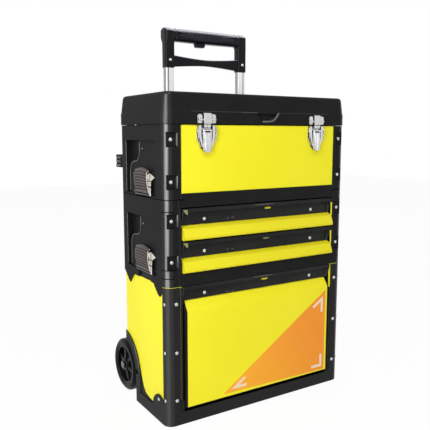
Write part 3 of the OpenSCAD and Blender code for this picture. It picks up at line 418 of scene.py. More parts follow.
latchSteel = brightMetal("latchSteel", {
    **chromeSet, "shade": (0.86, 0.83, 0.77), "toneShade": (0.72, 0.69, 0.64), "rough": 0.24,
    "seamShadowReach": 2, "seamShadowMix": 0.5, "darkReflectionMix": 0.3,
})
darkSteel = brightMetal("darkSteel", {
    **chromeSet, "shade": (0.2, 0.18, 0.165), "toneShade": (0.14, 0.125, 0.115), "rough": 0.3,
    "edgeShade": (0.5, 0.47, 0.42), "darkReflectionShade": (0.08, 0.075, 0.07),
})
tubeMetal = brightMetal("tubeMetal", {
    **chromeSet, "shade": (0.84, 0.84, 0.86), "toneShade": (0.76, 0.76, 0.78), "streak": (40, 40, 1),
    "streakScale": 30, "rough": 0.24, "roughStreak": 0.16, "seamShadowReach": 4,
    "seamShadow": (0.03, 0.03, 0.034), "darkReflectionWay": (1, 0, 0), "bothWays": True, "darkReflectionMix": 1.0,
    "darkReflectionShade": (0.34, 0.34, 0.35),
})


# Tyre: near black, duller where it is scuffed
rubberSet = {
    "shade": (0.004, 0.004, 0.0045),
    "scuffShade": (0.016, 0.016, 0.015),
    "scuffMix": 0.3,
    "scuffScale": 40,
    "rough": 0.27,
    "roughScuff": 0.16,
    "specular": 0.07,
    "grainScale": 900,
}


def tyreRubber(name, look):
    material, g = newMaterial(name)
    where = g.place()
    scuff = g.share(g.noise(where, look["scuffScale"], 4), 0.5, 0.75)
    g.surface({
        "Base Color": g.blend(scuff * look["scuffMix"], look["shade"], look["scuffShade"]),
        "Roughness": look["rough"] + scuff * look["roughScuff"],
        "Specular IOR Level": look["specular"],
        "Normal": g.bump(g.noise(where, look["grainScale"], 2), 0.1, 0.3),
    })
    return material


rubber = tyreRubber("tyreRubber", rubberSet)
print("materials ready")

finishes = {
    "yellow_steel": yellowCoat,
    "chrome_steel": chromePlate,
    "zinc_steel": zincPlate,
    "tube_metal": tubeMetal,
    "lever_plastic": leverPlastic,
    "grip_plastic": gripPlastic,
    "tray_plastic": trayPlastic,
    "tyre_rubber": rubber,
    "rim_plastic": rimPlastic,
    "sticker_film": yellowCoat,
    "black_plastic": blackPlastic,
}
posts = ("base_tray", "corner_posts", "foot_caps", "strike_lugs", "wheel_arches")
special = {
    "lid_shell": lidPlastic,
    "axle": darkSteel,
    **dict.fromkeys(posts, postPlastic),
    **dict.fromkeys(("upper_drawer_trim", "lower_drawer_trim", "bin_trim"), trimPlastic),
}
slotOf = {row["node"]: row["material_slot"] for row in frame["record"]["subparts"]}


# Small edge rounding of the solids, wider on the big moulded ones
edgeSet = {
    "weld": 0.01,
    "width": 0.5,
    "angle": 32,
    "own": {
        "base_tray": 1.0,
        "corner_posts": 0.8,
        "foot_caps": 0.9,
        "middle_ends": 0.9,
        "top_ends": 0.9,
        "wheel_arches": 1.0,
    },
}


def coverMesh(mesh, material):
    mesh.materials.clear()
    mesh.materials.append(material)
    mesh.polygons.foreach_set("use_smooth", [True] * len(mesh.polygons))


def roundEdges(piece, width, segments=2):
    soften = piece.modifiers.new("soften", "BEVEL")
    soften.width = width * mm
    soften.segments = segments
    soften.limit_method = "ANGLE"
    soften.angle_limit = math.radians(edgeSet["angle"])
    soften.use_clamp_overlap = True
    piece.modifiers.new("even", "WEIGHTED_NORMAL").keep_sharp = True


for name, solid in nodes.items():
    coverMesh(solid.data, special.get(name, finishes[slotOf[name]]))
    solid.modifiers.new("merge", "WELD").merge_threshold = edgeSet["weld"] * mm
    roundEdges(solid, edgeSet["own"].get(name, edgeSet["width"]))
print("solids finished")


# Points on an arc, angles in degrees
def arc(u, v, radius, start, end, steps=6):
    turn = [math.radians(start + (end - start) * i / steps) for i in range(steps + 1)]
    return [(u + radius * math.cos(a), v + radius * math.sin(a)) for a in turn]


def circle(radius, steps):
    return arc(0, 0, radius, 0, 360 - 360 / steps, steps - 1)


# Flat oval of a width and a height around a point
def oval(u, v, wide, high, steps=28):
    return [(u + a * wide / 2, v + b * high / 2) for a, b in circle(1, steps)]


# Path or outline whose corners are rounded: a corner is (u, v) or (u, v, its own radius)
def rounded(corners, radius=0.0, steps=4, closed=True):
    path = []
    for i, corner in enumerate(corners):
        here = Vector(corner[:2])
        r = corner[2] if len(corner) > 2 else radius
        if r <= 0 or (not closed and i in (0, len(corners) - 1)):
            path.append(tuple(here))
            continue
        before = Vector(corners[i - 1][:2]) - here
        after = Vector(corners[(i + 1) % len(corners)][:2]) - here
        half = before.angle(after) / 2
        reach = min(r / math.tan(half), before.length * 0.48, after.length * 0.48)
        r = reach * math.tan(half)
        centre = here + (before.normalized() + after.normalized()).normalized() * (r / math.sin(half))
        start = here + before.normalized() * reach - centre
        end = here + after.normalized() * reach - centre
        path += [tuple(centre + start.slerp(end, k / steps) * r) for k in range(steps + 1)]
    return path


def rect(u0, v0, u1, v1, radius=0.0, steps=4):
    return rounded([(u0, v0), (u1, v0), (u1, v1), (u0, v1)], radius, steps)


# One half of an outline and its mirror image across u = middle
def mirrored(half, middle=0.0):
    near = [(middle + u, *rest) for u, *rest in half]
    return near + [(middle - u, *rest) for u, *rest in reversed(half)]


# A mesh under construction. Points are millimetres from its origin; flip mirrors it to the left side
class Shape:
    def __init__(self, flip=1, origin=(0, 0, 0)):
        self.mesh = bmesh.new()
        self.origin = origin
        self.scale = (mm * flip, mm, mm)

    def vert(self, point):
        return self.mesh.verts.new([(p + o) * k for p, o, k in zip(point, self.origin, self.scale)])

    # Skin over rings with as many points each; a loop joins its last ring to its first
    def loft(self, rings, loop=False):
        rows = [[self.vert(point) for point in ring] for ring in rings]
        for low, high in zip(rows, rows[1:] + rows[:loop]):
            for i in range(len(low)):
                j = (i + 1) % len(low)
                self.mesh.faces.new((low[i], low[j], high[j], high[i]))
        if loop:
            bmesh.ops.remove_doubles(self.mesh, verts=sum(rows, []), dist=0.001 * mm)
        else:
            self.mesh.faces.new(rows[0])
            self.mesh.faces.new(rows[-1])
        return self

    # Outline pushed out along an axis: u and v are the two other axes in order
    def prism(self, points, axis, low, high):
        k = "xyz".index(axis)
        return self.loft([[(*p[:k], t, *p[k:]) for p in points] for t in (low, high)])

    def box(self, low, high, radius=0.0):
        return self.prism(rect(low[0], low[2], high[0], high[2], radius, 3), "y", low[1], high[1])

    # Circles of radius r at distance h from a centre along an axis
    def turn(self, profile, centre, axis, steps, loop=False):
        along = Vector(axis).normalized()
        side = along.orthogonal().normalized()
        other = along.cross(side)
        rings = []
        for r, h in profile:
            start = Vector(centre) + along * h
            rings.append([start + side * u + other * v for u, v in circle(r, steps)])
        return self.loft(rings, loop)

    def rod(self, start, end, radius):
        way = Vector(end) - Vector(start)
        ease = radius * 0.25
        far = way.length
        profile = [(radius - ease, 0), (radius, ease), (radius, far - ease), (radius - ease, far)]
        return self.turn(profile, start, way, 16)

    # The same outline at each point of a path, square to it; up is a direction off the path
    def sweep(self, path, outline, up):
        points = [Vector(p) for p in path]
        rings = []
        for i, here in enumerate(points):
            along = (points[min(i + 1, len(points) - 1)] - points[max(i - 1, 0)]).normalized()
            side = along.cross(Vector(up)).normalized()
            top = side.cross(along)
            rings.append([here + side * u + top * v for u, v in outline])
        return self.loft(rings)

    # Makes the object, gives it its finish and lets it ride on a body
    def build(self, name, body, material, slot, replaces=(), soften=0.0, segments=2):
        bmesh.ops.recalc_face_normals(self.mesh, faces=self.mesh.faces)
        mesh = bpy.data.meshes.new(name)
        self.mesh.to_mesh(mesh)
        self.mesh.free()
        coverMesh(mesh, material)
        piece = bpy.data.objects.new(name, mesh)
        scene.collection.objects.link(piece)
        roundEdges(piece, soften, segments)
        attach(piece, body)
        if replaces:
            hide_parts(*replaces)


# Lowest and highest corner of a solid, in millimetres
def ends(name):
    low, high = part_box(name)
    return low / mm, high / mm


def middleOf(name):
    low, high = ends(name)
    return (low + high) / 2


# The same for each separate solid of a node, from left to right
def solidsOf(name):
    shape = bmesh.new()
    shape.from_mesh(nodes[name].data)
    bmesh.ops.remove_doubles(shape, verts=shape.verts, dist=edgeSet["weld"] * mm)
    left = set(shape.verts)
    found = []
    while left:
        stack = [left.pop()]
        group = []
        while stack:
            vert = stack.pop()
            group.append(vert.co / mm)
            for edge in vert.link_edges:
                other = edge.other_vert(vert)
                if other in left:
                    left.remove(other)
                    stack.append(other)
        found.append([Vector([pick(p[k] for p in group) for k in range(3)]) for pick in (min, max)])
    shape.free()
    return sorted(found, key=lambda pair: tuple(round(v, 1) for v in pair[0]))


sideX = ends("corner_posts")[1].x
recessX = sideX - 5  # floor of the recesses in the side walls
frontY = ends("corner_posts")[0].y
zLow = ends("lower_sheet")[1].z
lidFront = ends("lid_shell")[0].y
lidLow = ends("lid_shell")[0].z
gauge = 1.2  # sheet steel of the bent pieces


# Domed heads on every rivet: the thin side of each one's box says which way it faces
rivetSet = {
    "dome": ((1.0, 0), (1.0, 0.35), (0.9, 0.8), (0.68, 1.25), (0.38, 1.55), (0.1, 1.65)),
    "steps": 20,
    "bodies": {
        "body_rivets": "frame",
        "upper_drawer_rivets": "upper_drawer",
        "lower_drawer_rivets": "lower_drawer",
        "bin_rivets": "bin",
        "grip_rivets": "trolley_handle",
    },
}


def domeRivets(node, body):
    shape = Shape()
    for low, high in solidsOf(node):
        size = high - low
        thin = min(range(3), key=lambda k: size[k])
        seat = (low + high) / 2
        way = Vector((0, 0, 0))
        way[thin] = -1 if thin == 1 or seat.x < 0 else 1
        seat[thin] = low[thin] if way[thin] > 0 else high[thin]
        radius = (sum(size) - size[thin]) / 4
        shape.turn([(r * radius, h) for r, h in rivetSet["dome"]], seat, way, rivetSet["steps"])
    shape.build("domed_" + node, body, zincPlate, "zinc_steel", (node,))


for node, body in rivetSet["bodies"].items():
    domeRivets(node, body)
print("rivets done")


# Front draw latches: claw and two lobes on the lid, a base with folded cheeks, a lever between two bails
latchSet = {
    "knuckle": 3.4,
    "wider": 2.3,  # base beyond the lever, on each side
    "stand": 6.2,  # pin in front of the base's back
    "lobeWide": 12,
    "lobeHigh": 20.5,
    "lobes": ((3.0, 0), (4.6, -1.6)),  # how far each layer stands out and how much it is grown
    "clawHalf": 9.5,
    "clawTop": 24,
    "foot": 21,
    "flange": 8,
    "bail": 1.9,
    "bailOut": 6.6,
    "stud": ((3, 0), (3, 0.6), (2.2, 1.2), (0.6, 1.5)),
    "pip": ((1.9, 0), (1.7, 0.8), (0.6, 1.3)),
    "link": ((0.5, -2.6), (4, -3.9), (7.2, -3.3), (8, -2), (8, -0.8), (0.5, -0.8)),
    "leverHalf": 11.6,
    "tip": 44,
    "tipHalf": 6.5,
    "slotHalf": 6,
}


def frontLatch(word):
    look = latchSet
    low, high = ends("front_lever_" + word)
    pin = Vector(((low.x + high.x) / 2, high.y - look["knuckle"], high.z - look["knuckle"]))
    half = (high.x - low.x) / 2 + look["wider"]

    # Claw and lobes, measured from the lid's lower front edge
    claw = Shape(origin=(pin.x, lidFront, lidLow))
    w = look["lobeWide"] / 2
    for s in (-1, 1):
        for depth, grow in look["lobes"]:
            lobe = [(w + grow, 1.5 - grow, 3), (w + grow, look["lobeHigh"] + grow, w * 0.8)]
            claw.prism(rounded(mirrored(lobe, s * (half - w)), steps=5), "y", -depth, 0.3)
    top = look["clawTop"]
    claw.prism(rounded([
        (0.3, 2), (0.3, top - 2, 1.5), (-3.8, top, 3), (-8.0, top - 5, 3.5), (-8.2, 3, 1.5),
        (-6.2, -0.2, 0.8), (-4.6, 0, 0.8), (-5.4, 8, 2), (-2, 12, 2),
    ]), "x", -look["clawHalf"], look["clawHalf"])
    claw.rod((1 - half, -4.4, 9), (half - 1, -4.4, 9), 2.4)
    claw.build("latch_claw_" + word, "lid", chromePlate, "chrome_steel", ("lid_catches",), 0.7, 3)

    # Base and lever, measured from the pin
    face = look["stand"]
    foot = look["foot"] / 2
    sole = low.z - pin.z
    base = Shape(origin=pin).prism(rounded(mirrored([
        (foot - 3, sole + 7, 3), (foot, sole + 13, 5), (half, -13, 5), (half, 11, 1),
    ])), "y", face - gauge, face)
    back = face - look["flange"]
    cheek = rounded([
        (face, 11, 1), (back + 2, 9, 3), (back, -2, 4), (back + 1.5, -14, 4), (face - 3, -36, 3),
        (face, -38),
    ])
    # Bail beside the lever, from under the claw down to the lever's waist
    bail = rounded([
        (half - 8.2, 11.5, 1.5), (half - 2.0, 11, 2), (half - 2.6, -12, 2), (12.8, -33, 2), (10.4, -35, 1),
        (half - 8.6, -12, 2),
    ])
    bailY = face - look["bailOut"]
    for s in (-1, 1):
        base.loft([[
            (s * (half - t - max(0, -13 - v) * (half - foot) / 32), u, v) for u, v in cheek
        ] for t in (0, gauge)])
        base.prism([(s * u, v) for u, v in bail], "y", bailY, bailY + look["bail"])
        base.turn(look["stud"], (s * (half - 0.4), 0, 0), (s, 0, 0), 16)
        base.turn(look["pip"], (s * (half - 5), face - 0.6, -16), (0, -1, 0), 14)
        # Little stop that sticks out beside the cheek
        base.box((s * half - 1.2, face - 4.2, -22), (s * half + 1.0, face - 1.6, -18), 0.8)
        # Link between claw and lever, with a crease down its middle and a slanted foot
        link = [(s * u, v) for u, v in look["link"]]
        base.loft([[(u, v, 4.7 - v * 0.65) for u, v in link], [(u, v, 13) for u, v in link]])
    base.build("latch_base_" + word, "frame", chromePlate, "chrome_steel", ("latch_bases",), 0.3)

    body = "front_latch_" + word
    wide = look["leverHalf"]
    tip = look["tip"]
    lever = Shape(origin=pin).rod((-wide, 0, 0), (wide, 0, 0), look["knuckle"])
    # Cross-sections down the lever: height below the pin, half width, half width and rise of the ridge
    rows = (
        (-1, wide, 7.4, 1.6), (6, wide, 7.4, 2.4), (13, wide - 0.2, 7.2, 3.0), (22, 11.2, 7.0, 3.4),
        (30, 10.6, 6.6, 3.4), (tip - 2.5, 9.6, 6.0, 2.7), (tip, 7.6, 4.6, 1.5),
    )
    rings = []
    for drop, w, c, rise in rows:
        edge = [
            (0, 0.1 - rise), (0.8, -rise - 1.3), (c - 1.6, -rise - 1), (c, -rise - 0.1), (c + 0.7, -1),
            (c + 1.5, -0.9), (w - 0.5, -1.7), (w, -0.3),
        ]
        front = [(-u, v) for u, v in reversed(edge)] + edge[1:]
        rear = [(w * 0.97, 1.1), (0, 1.1), (-w * 0.97, 1.1)]
        rings.append([(u, v, -drop) for u, v in front + rear])
    lever.loft(rings)
    t = look["tipHalf"]
    lever.prism(rect(-t, -tip - 1.2, t, 2 - tip, 1.5), "y", -4.0, 0)
    lever.build("latch_lever_" + word, body, chromePlate, "chrome_steel", ("front_lever_" + word,), 0.3)
    # Black piece for the lever's slot: painted shade of its opening
    t = look["slotHalf"]
    slotShadow = Shape(origin=pin).prism(rect(-t, -3.4, t, -0.6, 1.2), "y", -4.1, -1)
    slotShadow.build("latch_slot_shadow_" + word, body, blackPlastic, "black_plastic", (), 0.1)


for flip, word in sides:
    frontLatch(word)
print("front latches done")


# Side latches: crowned lever with arched ribs and steel edges, U-shaped frame, bracket with a pointed ear
sideSet = {
    "pinDrop": 3.4,
    "pinOut": 2.5,
    "pinRadius": 1.2,
    "ribPitch": 6.4,
    "ribRise": 0.4,
    "bow": 8.9,
    "bowFall": 5.6,
    "thick": 3.2,
    "arch": 3.6,
    "corner": 9,
    "strip": 2.2,
    "steps": 66,
}


# How far the lever stands out at a height below its pivot
def leverBow(drop):
    if drop < 4:
        return sideSet["bow"] - 0.46 - (4 - drop) ** 2 * 0.05
    return sideSet["bow"] - ((drop - 14) / 35) ** 2 * sideSet["bowFall"]


def within(value):
    return min(1.0, max(0.0, value))


# All of a side latch is measured from its pin's middle, at the wall
def sideLatch(flip, word, level):
    tag = level + "_" + word
    body = "side_latch_" + tag
    look = sideSet
    low, high = ends("side_lever_" + tag)
    pin = (sideX, (low.y + high.y) / 2, high.z - look["pinDrop"])
    length = pin[2] - low.z
    half = (high.y - low.y) / 2
    strip = look["strip"]

    # How far a rib falls from its middle to a share of the half width
    def ribFall(t, drop):
        return look["arch"] * t * t * (1 - 0.8 * max(0.0, drop) / length)

    # Dark strips along the grooves between the ribs: painted shade
    grooves = Shape(flip, pin)
    drop = 2.0
    while drop < length - 4:
        wide = 1.3 if drop < length * 0.6 else 2.2
        path = []
        for k in range(-6, 7):
            t = k / 6 * 0.86
            path.append((leverBow(drop) - 0.1, (half - strip) * t, -drop - ribFall(t, drop)))
        grooves.sweep(path, rect(-0.7, -wide / 2, 0.7, wide / 2, 0.3, 1), (1, 0, 0))
        drop += look["ribPitch"]
    grooves.build("lever_groove_shadows_" + tag, body, grooveShadowPlastic, "lever_plastic")
    rings = []
    for i in range(look["steps"] + 1):
        drop = -6.5 + (length + 6.1) * i / look["steps"]
        lean = within((5 - drop) / 11.5)
        width = half - strip - look["corner"] * (1 - math.sqrt(1 - lean * lean))
        live = within((drop - 3) / 3) * within((length - 2 - drop) / 3)
        wave = look["ribRise"] * live * math.cos(2 * math.pi * drop / look["ribPitch"])
        front = []
        for k in range(-8, 9):
            t = k / 8
            ease = max(0.0, (abs(t) - 0.75) / 0.25) ** 2
            x = leverBow(drop) + wave * (1 - ease) - 1.3 * ease
            front.append((x, width * t, -drop - ribFall(t, drop)))
        rings.append(front + [(max(1.4, x - look["thick"]), y, z) for x, y, z in reversed(front)])
    lever = Shape(flip, pin).loft(rings)
    lever.build("lever_grip_" + tag, body, leverPlastic, "lever_plastic", ("side_lever_" + tag,))

    # U-shaped frame: an arm in front of the lever, a bar below it, a short slanted end behind
    path = rounded([
        (-half - 3, -23), (-half - 3, -length - 3.5, 3), (half - 3, -length - 4, 4), (half + 7, 4 - length),
    ], closed=False)
    bar = Shape(flip, pin)
    bar.sweep([(1.6, y, z) for y, z in path], rect(-1.1, -1.5, 1.1, 1.5, 0.5, 2), (1, 0, 0))
    bar.build("hook_bar_" + tag, body, darkSteel, "zinc_steel", (), 0.2)
    drops = [2.5 + (length - 2.5) * i / 24 for i in range(25)]
    outer = [(leverBow(d) + 0.1, -d) for d in drops]
    inner = [(max(0.8, leverBow(d) - 7), -d) for d in reversed(drops)]
    steel = Shape(flip, pin).prism(outer + inner, "y", -half, strip - half)
    steel.prism(rect(-half - 7.5, -33, -half - 0.6, -23, 1.2), "x", 0.5, 3.4)
    steel.prism(rect(-half - 6.5, -length - 4.5, -half - 0.4, -35.5, 1.2), "x", 0.5, 3.2)
    steel.build("hook_frame_" + tag, body, latchSteel, "zinc_steel", ("side_hook_" + tag,), 0.3)

    floor = recessX - sideX
    bracket = Shape(flip, pin).prism(rounded([
        (half + 2, -21, 1), (half + 2, -7.5, 1), (3 - half, -6.6, 1), (1 - half, -13, 0.6),
        (1 - half, -22, 1),
    ]), "x", floor, floor + gauge)
    # Bright pointed ear in front of the lever
    bracket.prism(rounded([
        (-half - 1, -5), (-half - 6, -6.5), (-half - 23, -13), (-half - 6, -21.5), (-half - 1, -22),
    ], 0.6), "x", floor + gauge, floor + 6.5)
    bracket.rod((look["pinOut"], 3 - half, 0), (look["pinOut"], half - 3, 0), look["pinRadius"])
    bracket.build("latch_bracket_" + tag, "frame", latchSteel, "zinc_steel", ("side_latch_brackets",), 0.25)


for flip, word in sides:
    for level in ("upper", "lower"):
        sideLatch(flip, word, level)
print("side latches done")


# Pull handle: two posts with rounded heads, a padded bar, a tie and the release button
gripSet = {
    "wide": 26,
    "front": 11.5,
    "back": 11.5,
    "headFront": 14,
    "headBack": 22,
    "headDrop": 33,
    "barFront": 14,
    "barBack": 12,
    "barHigh": 34,
    "collar": ((0, -1.4), (0.8, -0.2), (3.4, -0.2), (4.2, -1.4)),
    "ribs": 15,
    "ribPitch": 3.6,
    "ribShift": 10,
    "ribHalf": 0.8,
    "ribHigh": 7.4,
    "ribOut": 1.7,
    "lineDrop": 10.2,
    "lineSag": 5,
    "padHalf": 80,
    "padHigh": 19,
    "pad": ((1.0, -1.0), (1.0, 0.1), (0.9, 0.8), (0.7, 1.1)),  # size and rise of its layers
    "tieDeep": 12,
    "tieThin": 7.6,
    "tieFlare": 6.6,
}
tubeBox = solidsOf("handle_tubes")[-1]
tubeX, tubeY = ((tubeBox[0] + tubeBox[1]) / 2)[:2]
gripLow, gripHigh = [corner.z for corner in ends("handle_grip")]
gripTop = (0, tubeY, gripHigh)  # all of the grip is measured from its top, between the tubes


def barSection(x, grow):
    look = gripSet
    f = look["barFront"] + grow
    b = look["barBack"] + grow
    h = look["barHigh"] / 2 + grow
    mid = -look["barHigh"] / 2 - 0.4
    return [(x, y, mid + z) for y, z in rounded([
        (-f, -h + 1, 7), (b - 1, -h, 8), (b, h - 2, 7), (-1, h, 6), (-f + 0.8, h - 7.5, 5),
    ], steps=6)]


def makeGrip():
    look = gripSet
    face = -look["barFront"]
    # Lens-shaped pad on the bar's front, with upright ribs in its middle
    padZ = -look["barHigh"] / 2 - 2
    rings = []
    for grow, rise in look["pad"]:
        ring = oval(0, padZ, 2 * look["padHalf"] * grow, look["padHigh"] * grow, 40)
        rings.append([(x, face - rise + 1.2 * (x / tubeX) ** 2, z) for x, z in ring])
    pad = Shape(origin=gripTop).loft(rings)
    for i in range(look["ribs"]):
        x = (i - (look["ribs"] - 1) / 2) * look["ribPitch"] + look["ribShift"]
        high = look["ribHigh"] * math.sqrt(max(0.1, 1 - (x / look["padHalf"]) ** 2))
        low = (x - look["ribHalf"], face - look["ribOut"], padZ - high)
        pad.box(low, (x + look["ribHalf"], face + 0.5, padZ + high), 0.5)
    pad.build("grip_pad", "trolley_handle", padPlastic, "grip_plastic")
    # Raised line that sags below the bar's sloped top, pale as a painted highlight
    line = []
    for k in range(-12, 13):
        t = k / 12
        z = -look["lineDrop"] - look["lineSag"] * (1 - t * t)
        line.append((look["padHalf"] * 1.04 * t, face - 0.2, z))
    crease = Shape(origin=gripTop).sweep(line, circle(0.7, 8), (0, 1, 0))
    crease.build("grip_highlight_line", "trolley_handle", highlightLinePlastic, "grip_plastic")

    w = look["wide"] / 2
    f = look["front"]
    b = look["back"]
    hf = look["headFront"]
    hb = look["headBack"]
    foot = gripLow - gripHigh
    head = -look["headDrop"]
    # Post sections: height, half width, reach to the front and to the back, corner radius
    rows = (
        (foot, w - 1, f - 1, b - 1, 4), (foot + 1.2, w, f, b, 5), (foot + 6, w, f, b, 5.5),
        (head - 10, w, f, b + 0.3, 5.5), (head - 3, w, f + 0.6, b + 1.5, 6),
        (head + 2, w, f + 1.4, b + 6, 7), (head + 6, w, hf - 0.4, hb - 2, 8), (head + 10, w, hf, hb, 9),
        (-9, w, hf, hb, 9), (-7.4, w, hf - 1.4, hb - 0.4, 9), (-4.8, w - 0.6, hf - 5.4, hb - 2, 8),
        (-2.0, w - 2.0, hf - 10.0, hb - 5, 7), (-0.7, w - 3.6, hf - 13.0, hb - 8.5, 5),
        (0, w - 6.5, hf - 16.5, hb - 12.5, 3),
    )
    grip = Shape(origin=gripTop)
    for s in (-1, 1):
        x = s * tubeX
        grip.loft([[(u, v, z) for u, v in rect(x - half, -ahead, x + half, behind, r, 5)]
                   for z, half, ahead, behind, r in rows])
        # Collar where the bar meets the post
        grip.loft([barSection(s * (tubeX - w - 7 + t), grow) for t, grow in look["collar"]])
    # Bar, waisted a little towards its ends
    grip.loft([barSection(u * (tubeX - 4), -u * u) for u in (-1, -0.8, -0.5, 0, 0.5, 0.8, 1)])
    # Bow-tie: narrowest in the middle
    tieY = look["tieDeep"] / 2
    tieZ = middleOf("grip_rivets").z - 1 - gripHigh
    rings = []
    for k in range(-10, 11):
        high = look["tieThin"] + look["tieFlare"] * min(1.0, abs(k) * 0.102) ** 1.5
        tie = rect(-tieY, tieZ - high, tieY, tieZ + high, 2.2, 3)
        rings.append([(k / 10 * (tubeX - w + 3), y, z) for y, z in tie])
    grip.loft(rings)
    grip.build("grip_body", "trolley_handle", gripPlastic, "grip_plastic", ("handle_grip",), 0.5)

    low, high = ends("release_button")
    half = (high.x - low.x) / 2
    edge = mirrored([(half - 3, low.z, 3), (half, low.z + 5, 2), (half, high.z)], (low.x + high.x) / 2)
    button = Shape().prism(rounded(edge), "y", low.y, high.y)
    button.build("button_cap", "release_button", gripPlastic, "grip_plastic", ("release_button",), 0.8, 3)


makeGrip()


# Inner tubes: drawn profile with rounded flanks and a groove down its front
tubeSet = {"corner": 4.5, "grooveAt": 4.5, "grooveDeep": 1.4, "grooveShadowHalf": 0.9}


def makeTubes():
    low, high = tubeBox
    w = (high.x - low.x) / 2
    d = (high.y - low.y) / 2
    at = tubeSet["grooveAt"]
    floor = tubeSet["grooveDeep"] - d
    outline = rect(-w, -d, w, d, tubeSet["corner"], 6)
    profile = []
    for (u0, v0), (u1, v1) in zip(outline, outline[1:] + outline[:1]):
        profile.append((u0, v0))
        if max(abs(v0 + d), abs(v1 + d)) < 0.01:
            profile += [(at - 1.1, -d), (at - 0.6, floor), (at + 0.6, floor), (at + 1.1, -d)]
    tubes = Shape(origin=(0, tubeY, 0))
    # Dark strip in each tube's groove: painted shade
    tubeGrooveShadow = Shape(origin=(0, tubeY, 0))
    half = tubeSet["grooveShadowHalf"]
    for s in (-1, 1):
        tubes.prism([(s * (tubeX + u), v) for u, v in profile], "z", low.z, high.z)
        u = s * (tubeX + at)
        tubeGrooveShadow.box((u - half, 0.5 - d, low.z + 1), (u + half, 1.6 - d, high.z - 1))
    tubeGrooveShadow.build("tube_groove_shadows", "trolley_handle", grooveShadowPlastic, "black_plastic")
    tubes.build("pull_tubes", "trolley_handle", tubeMetal, "tube_metal", ("handle_tubes",), 0.2)


makeTubes()
print("pull handle done")


# Wheels: rounded tyre with two tread grooves, dished rim with spokes
wheelSet = {
    "shoulder": 7,
    "treadDeep": 1.4,
    "lip": 4,
    "hub": 15,
    "spokes": 6,
    "spokeWide": 8,
    "steps": 72,
}


def makeWheel(flip, word):
    look = wheelSet
    low, high = ends("tyre_" + word)
    rimLow, rimHigh = ends("rim_" + word)
    radius = (high.z - low.z) / 2
    rimR = (rimHigh.z - rimLow.z) / 2
    wide = high.x - low.x
    middle = (low + high) / 2
    inside = (abs(middle.x) - wide / 2, middle.y, middle.z)  # middle of the wheel's inner face
    body = "wheel_" + word

    # Ring from one half of its profile, the other half being its mirror image
    def hoop(shape, half):
        profile = rounded(half + [(r, wide - h, *bend) for r, h, *bend in reversed(half)])
        shape.turn(profile, (0, 0, 0), (1, 0, 0), look["steps"], True)

    tyre = Shape(flip, inside)
    a = look["shoulder"]
    tread = radius - look["treadDeep"]
    hoop(tyre, [
        (rimR, 2.5, 1), (rimR + 2, 0.6, 1.5), (rimR + 9, 0.2, 3), (radius, a * 0.8, a),
        (radius, wide * 0.36, 0.4), (tread, wide * 0.38, 0.4), (tread, wide * 0.42, 0.4),
        (radius, wide * 0.44, 0.4),
    ])
    tyre.build("tyre_tread_" + word, body, rubber, "tyre_rubber", ("tyre_" + word,))

    rim = Shape(flip, inside)
    hub = look["hub"]
    hoop(rim, [(rimR - look["lip"], 3, 1), (rimR - 1, 1.2, 1), (rimR, 2.4, 0.6)])
    hoop(rim, [(rimR - 3.2, wide / 2 - 2), (hub, wide / 2 - 3)])
    barrel = [(hub - 3, 1), (hub, 2.5), (hub, wide - 3.5), (hub - 2, wide - 1.5), (hub - 5, wide - 1)]
    rim.turn(barrel, (0, 0, 0), (1, 0, 0), look["steps"] // 2)
    for k in range(look["spokes"]):
        a = 2 * math.pi * k / look["spokes"] + 0.3
        rings = []
        for r, share, h0, h1 in ((hub - 2, 1.15, 6, wide - 5), (rimR - 3, 0.85, 8, wide - 8)):
            half = look["spokeWide"] / 2 * share
            rings.append([
                (h, r * math.cos(a) - t * math.sin(a), r * math.sin(a) + t * math.cos(a))
                for t, h in rect(-half, h0, half, h1, 2, 3)
            ])
        rim.loft(rings)
    rim.build("rim_spokes_" + word, body, rimPlastic, "rim_plastic", ("rim_" + word,), 0.4)


for flip, word in sides:
    makeWheel(flip, word)
print("wheels done")


# Bent steel fronts: bend radii, a folded lower edge and a tongue in the pull channel
frontSet = {
    "bend": 2.6,
    "slope": {"upper_drawer": 7, "lower_drawer": 7, "bin": 20},
    "foldHigh": 2.6,
    "foldDeep": 7,
    "tongue": (19, 4.2),
    "tongueDrop": 12.6,
    "tongueShift": {"upper_drawer": 20, "lower_drawer": 16, "bin": 13},
    "upperHalf": 206.5,
    "drawerHalf": 209.2,
    "lean": 7,
    "crease": 5,
    "strip": (208.6, 211.6),
    "stripTop": 9,
    "tab": ((-208.6, -0.6), (-197.8, -1.4), (-197.8, -12), (-203, -9)),
}


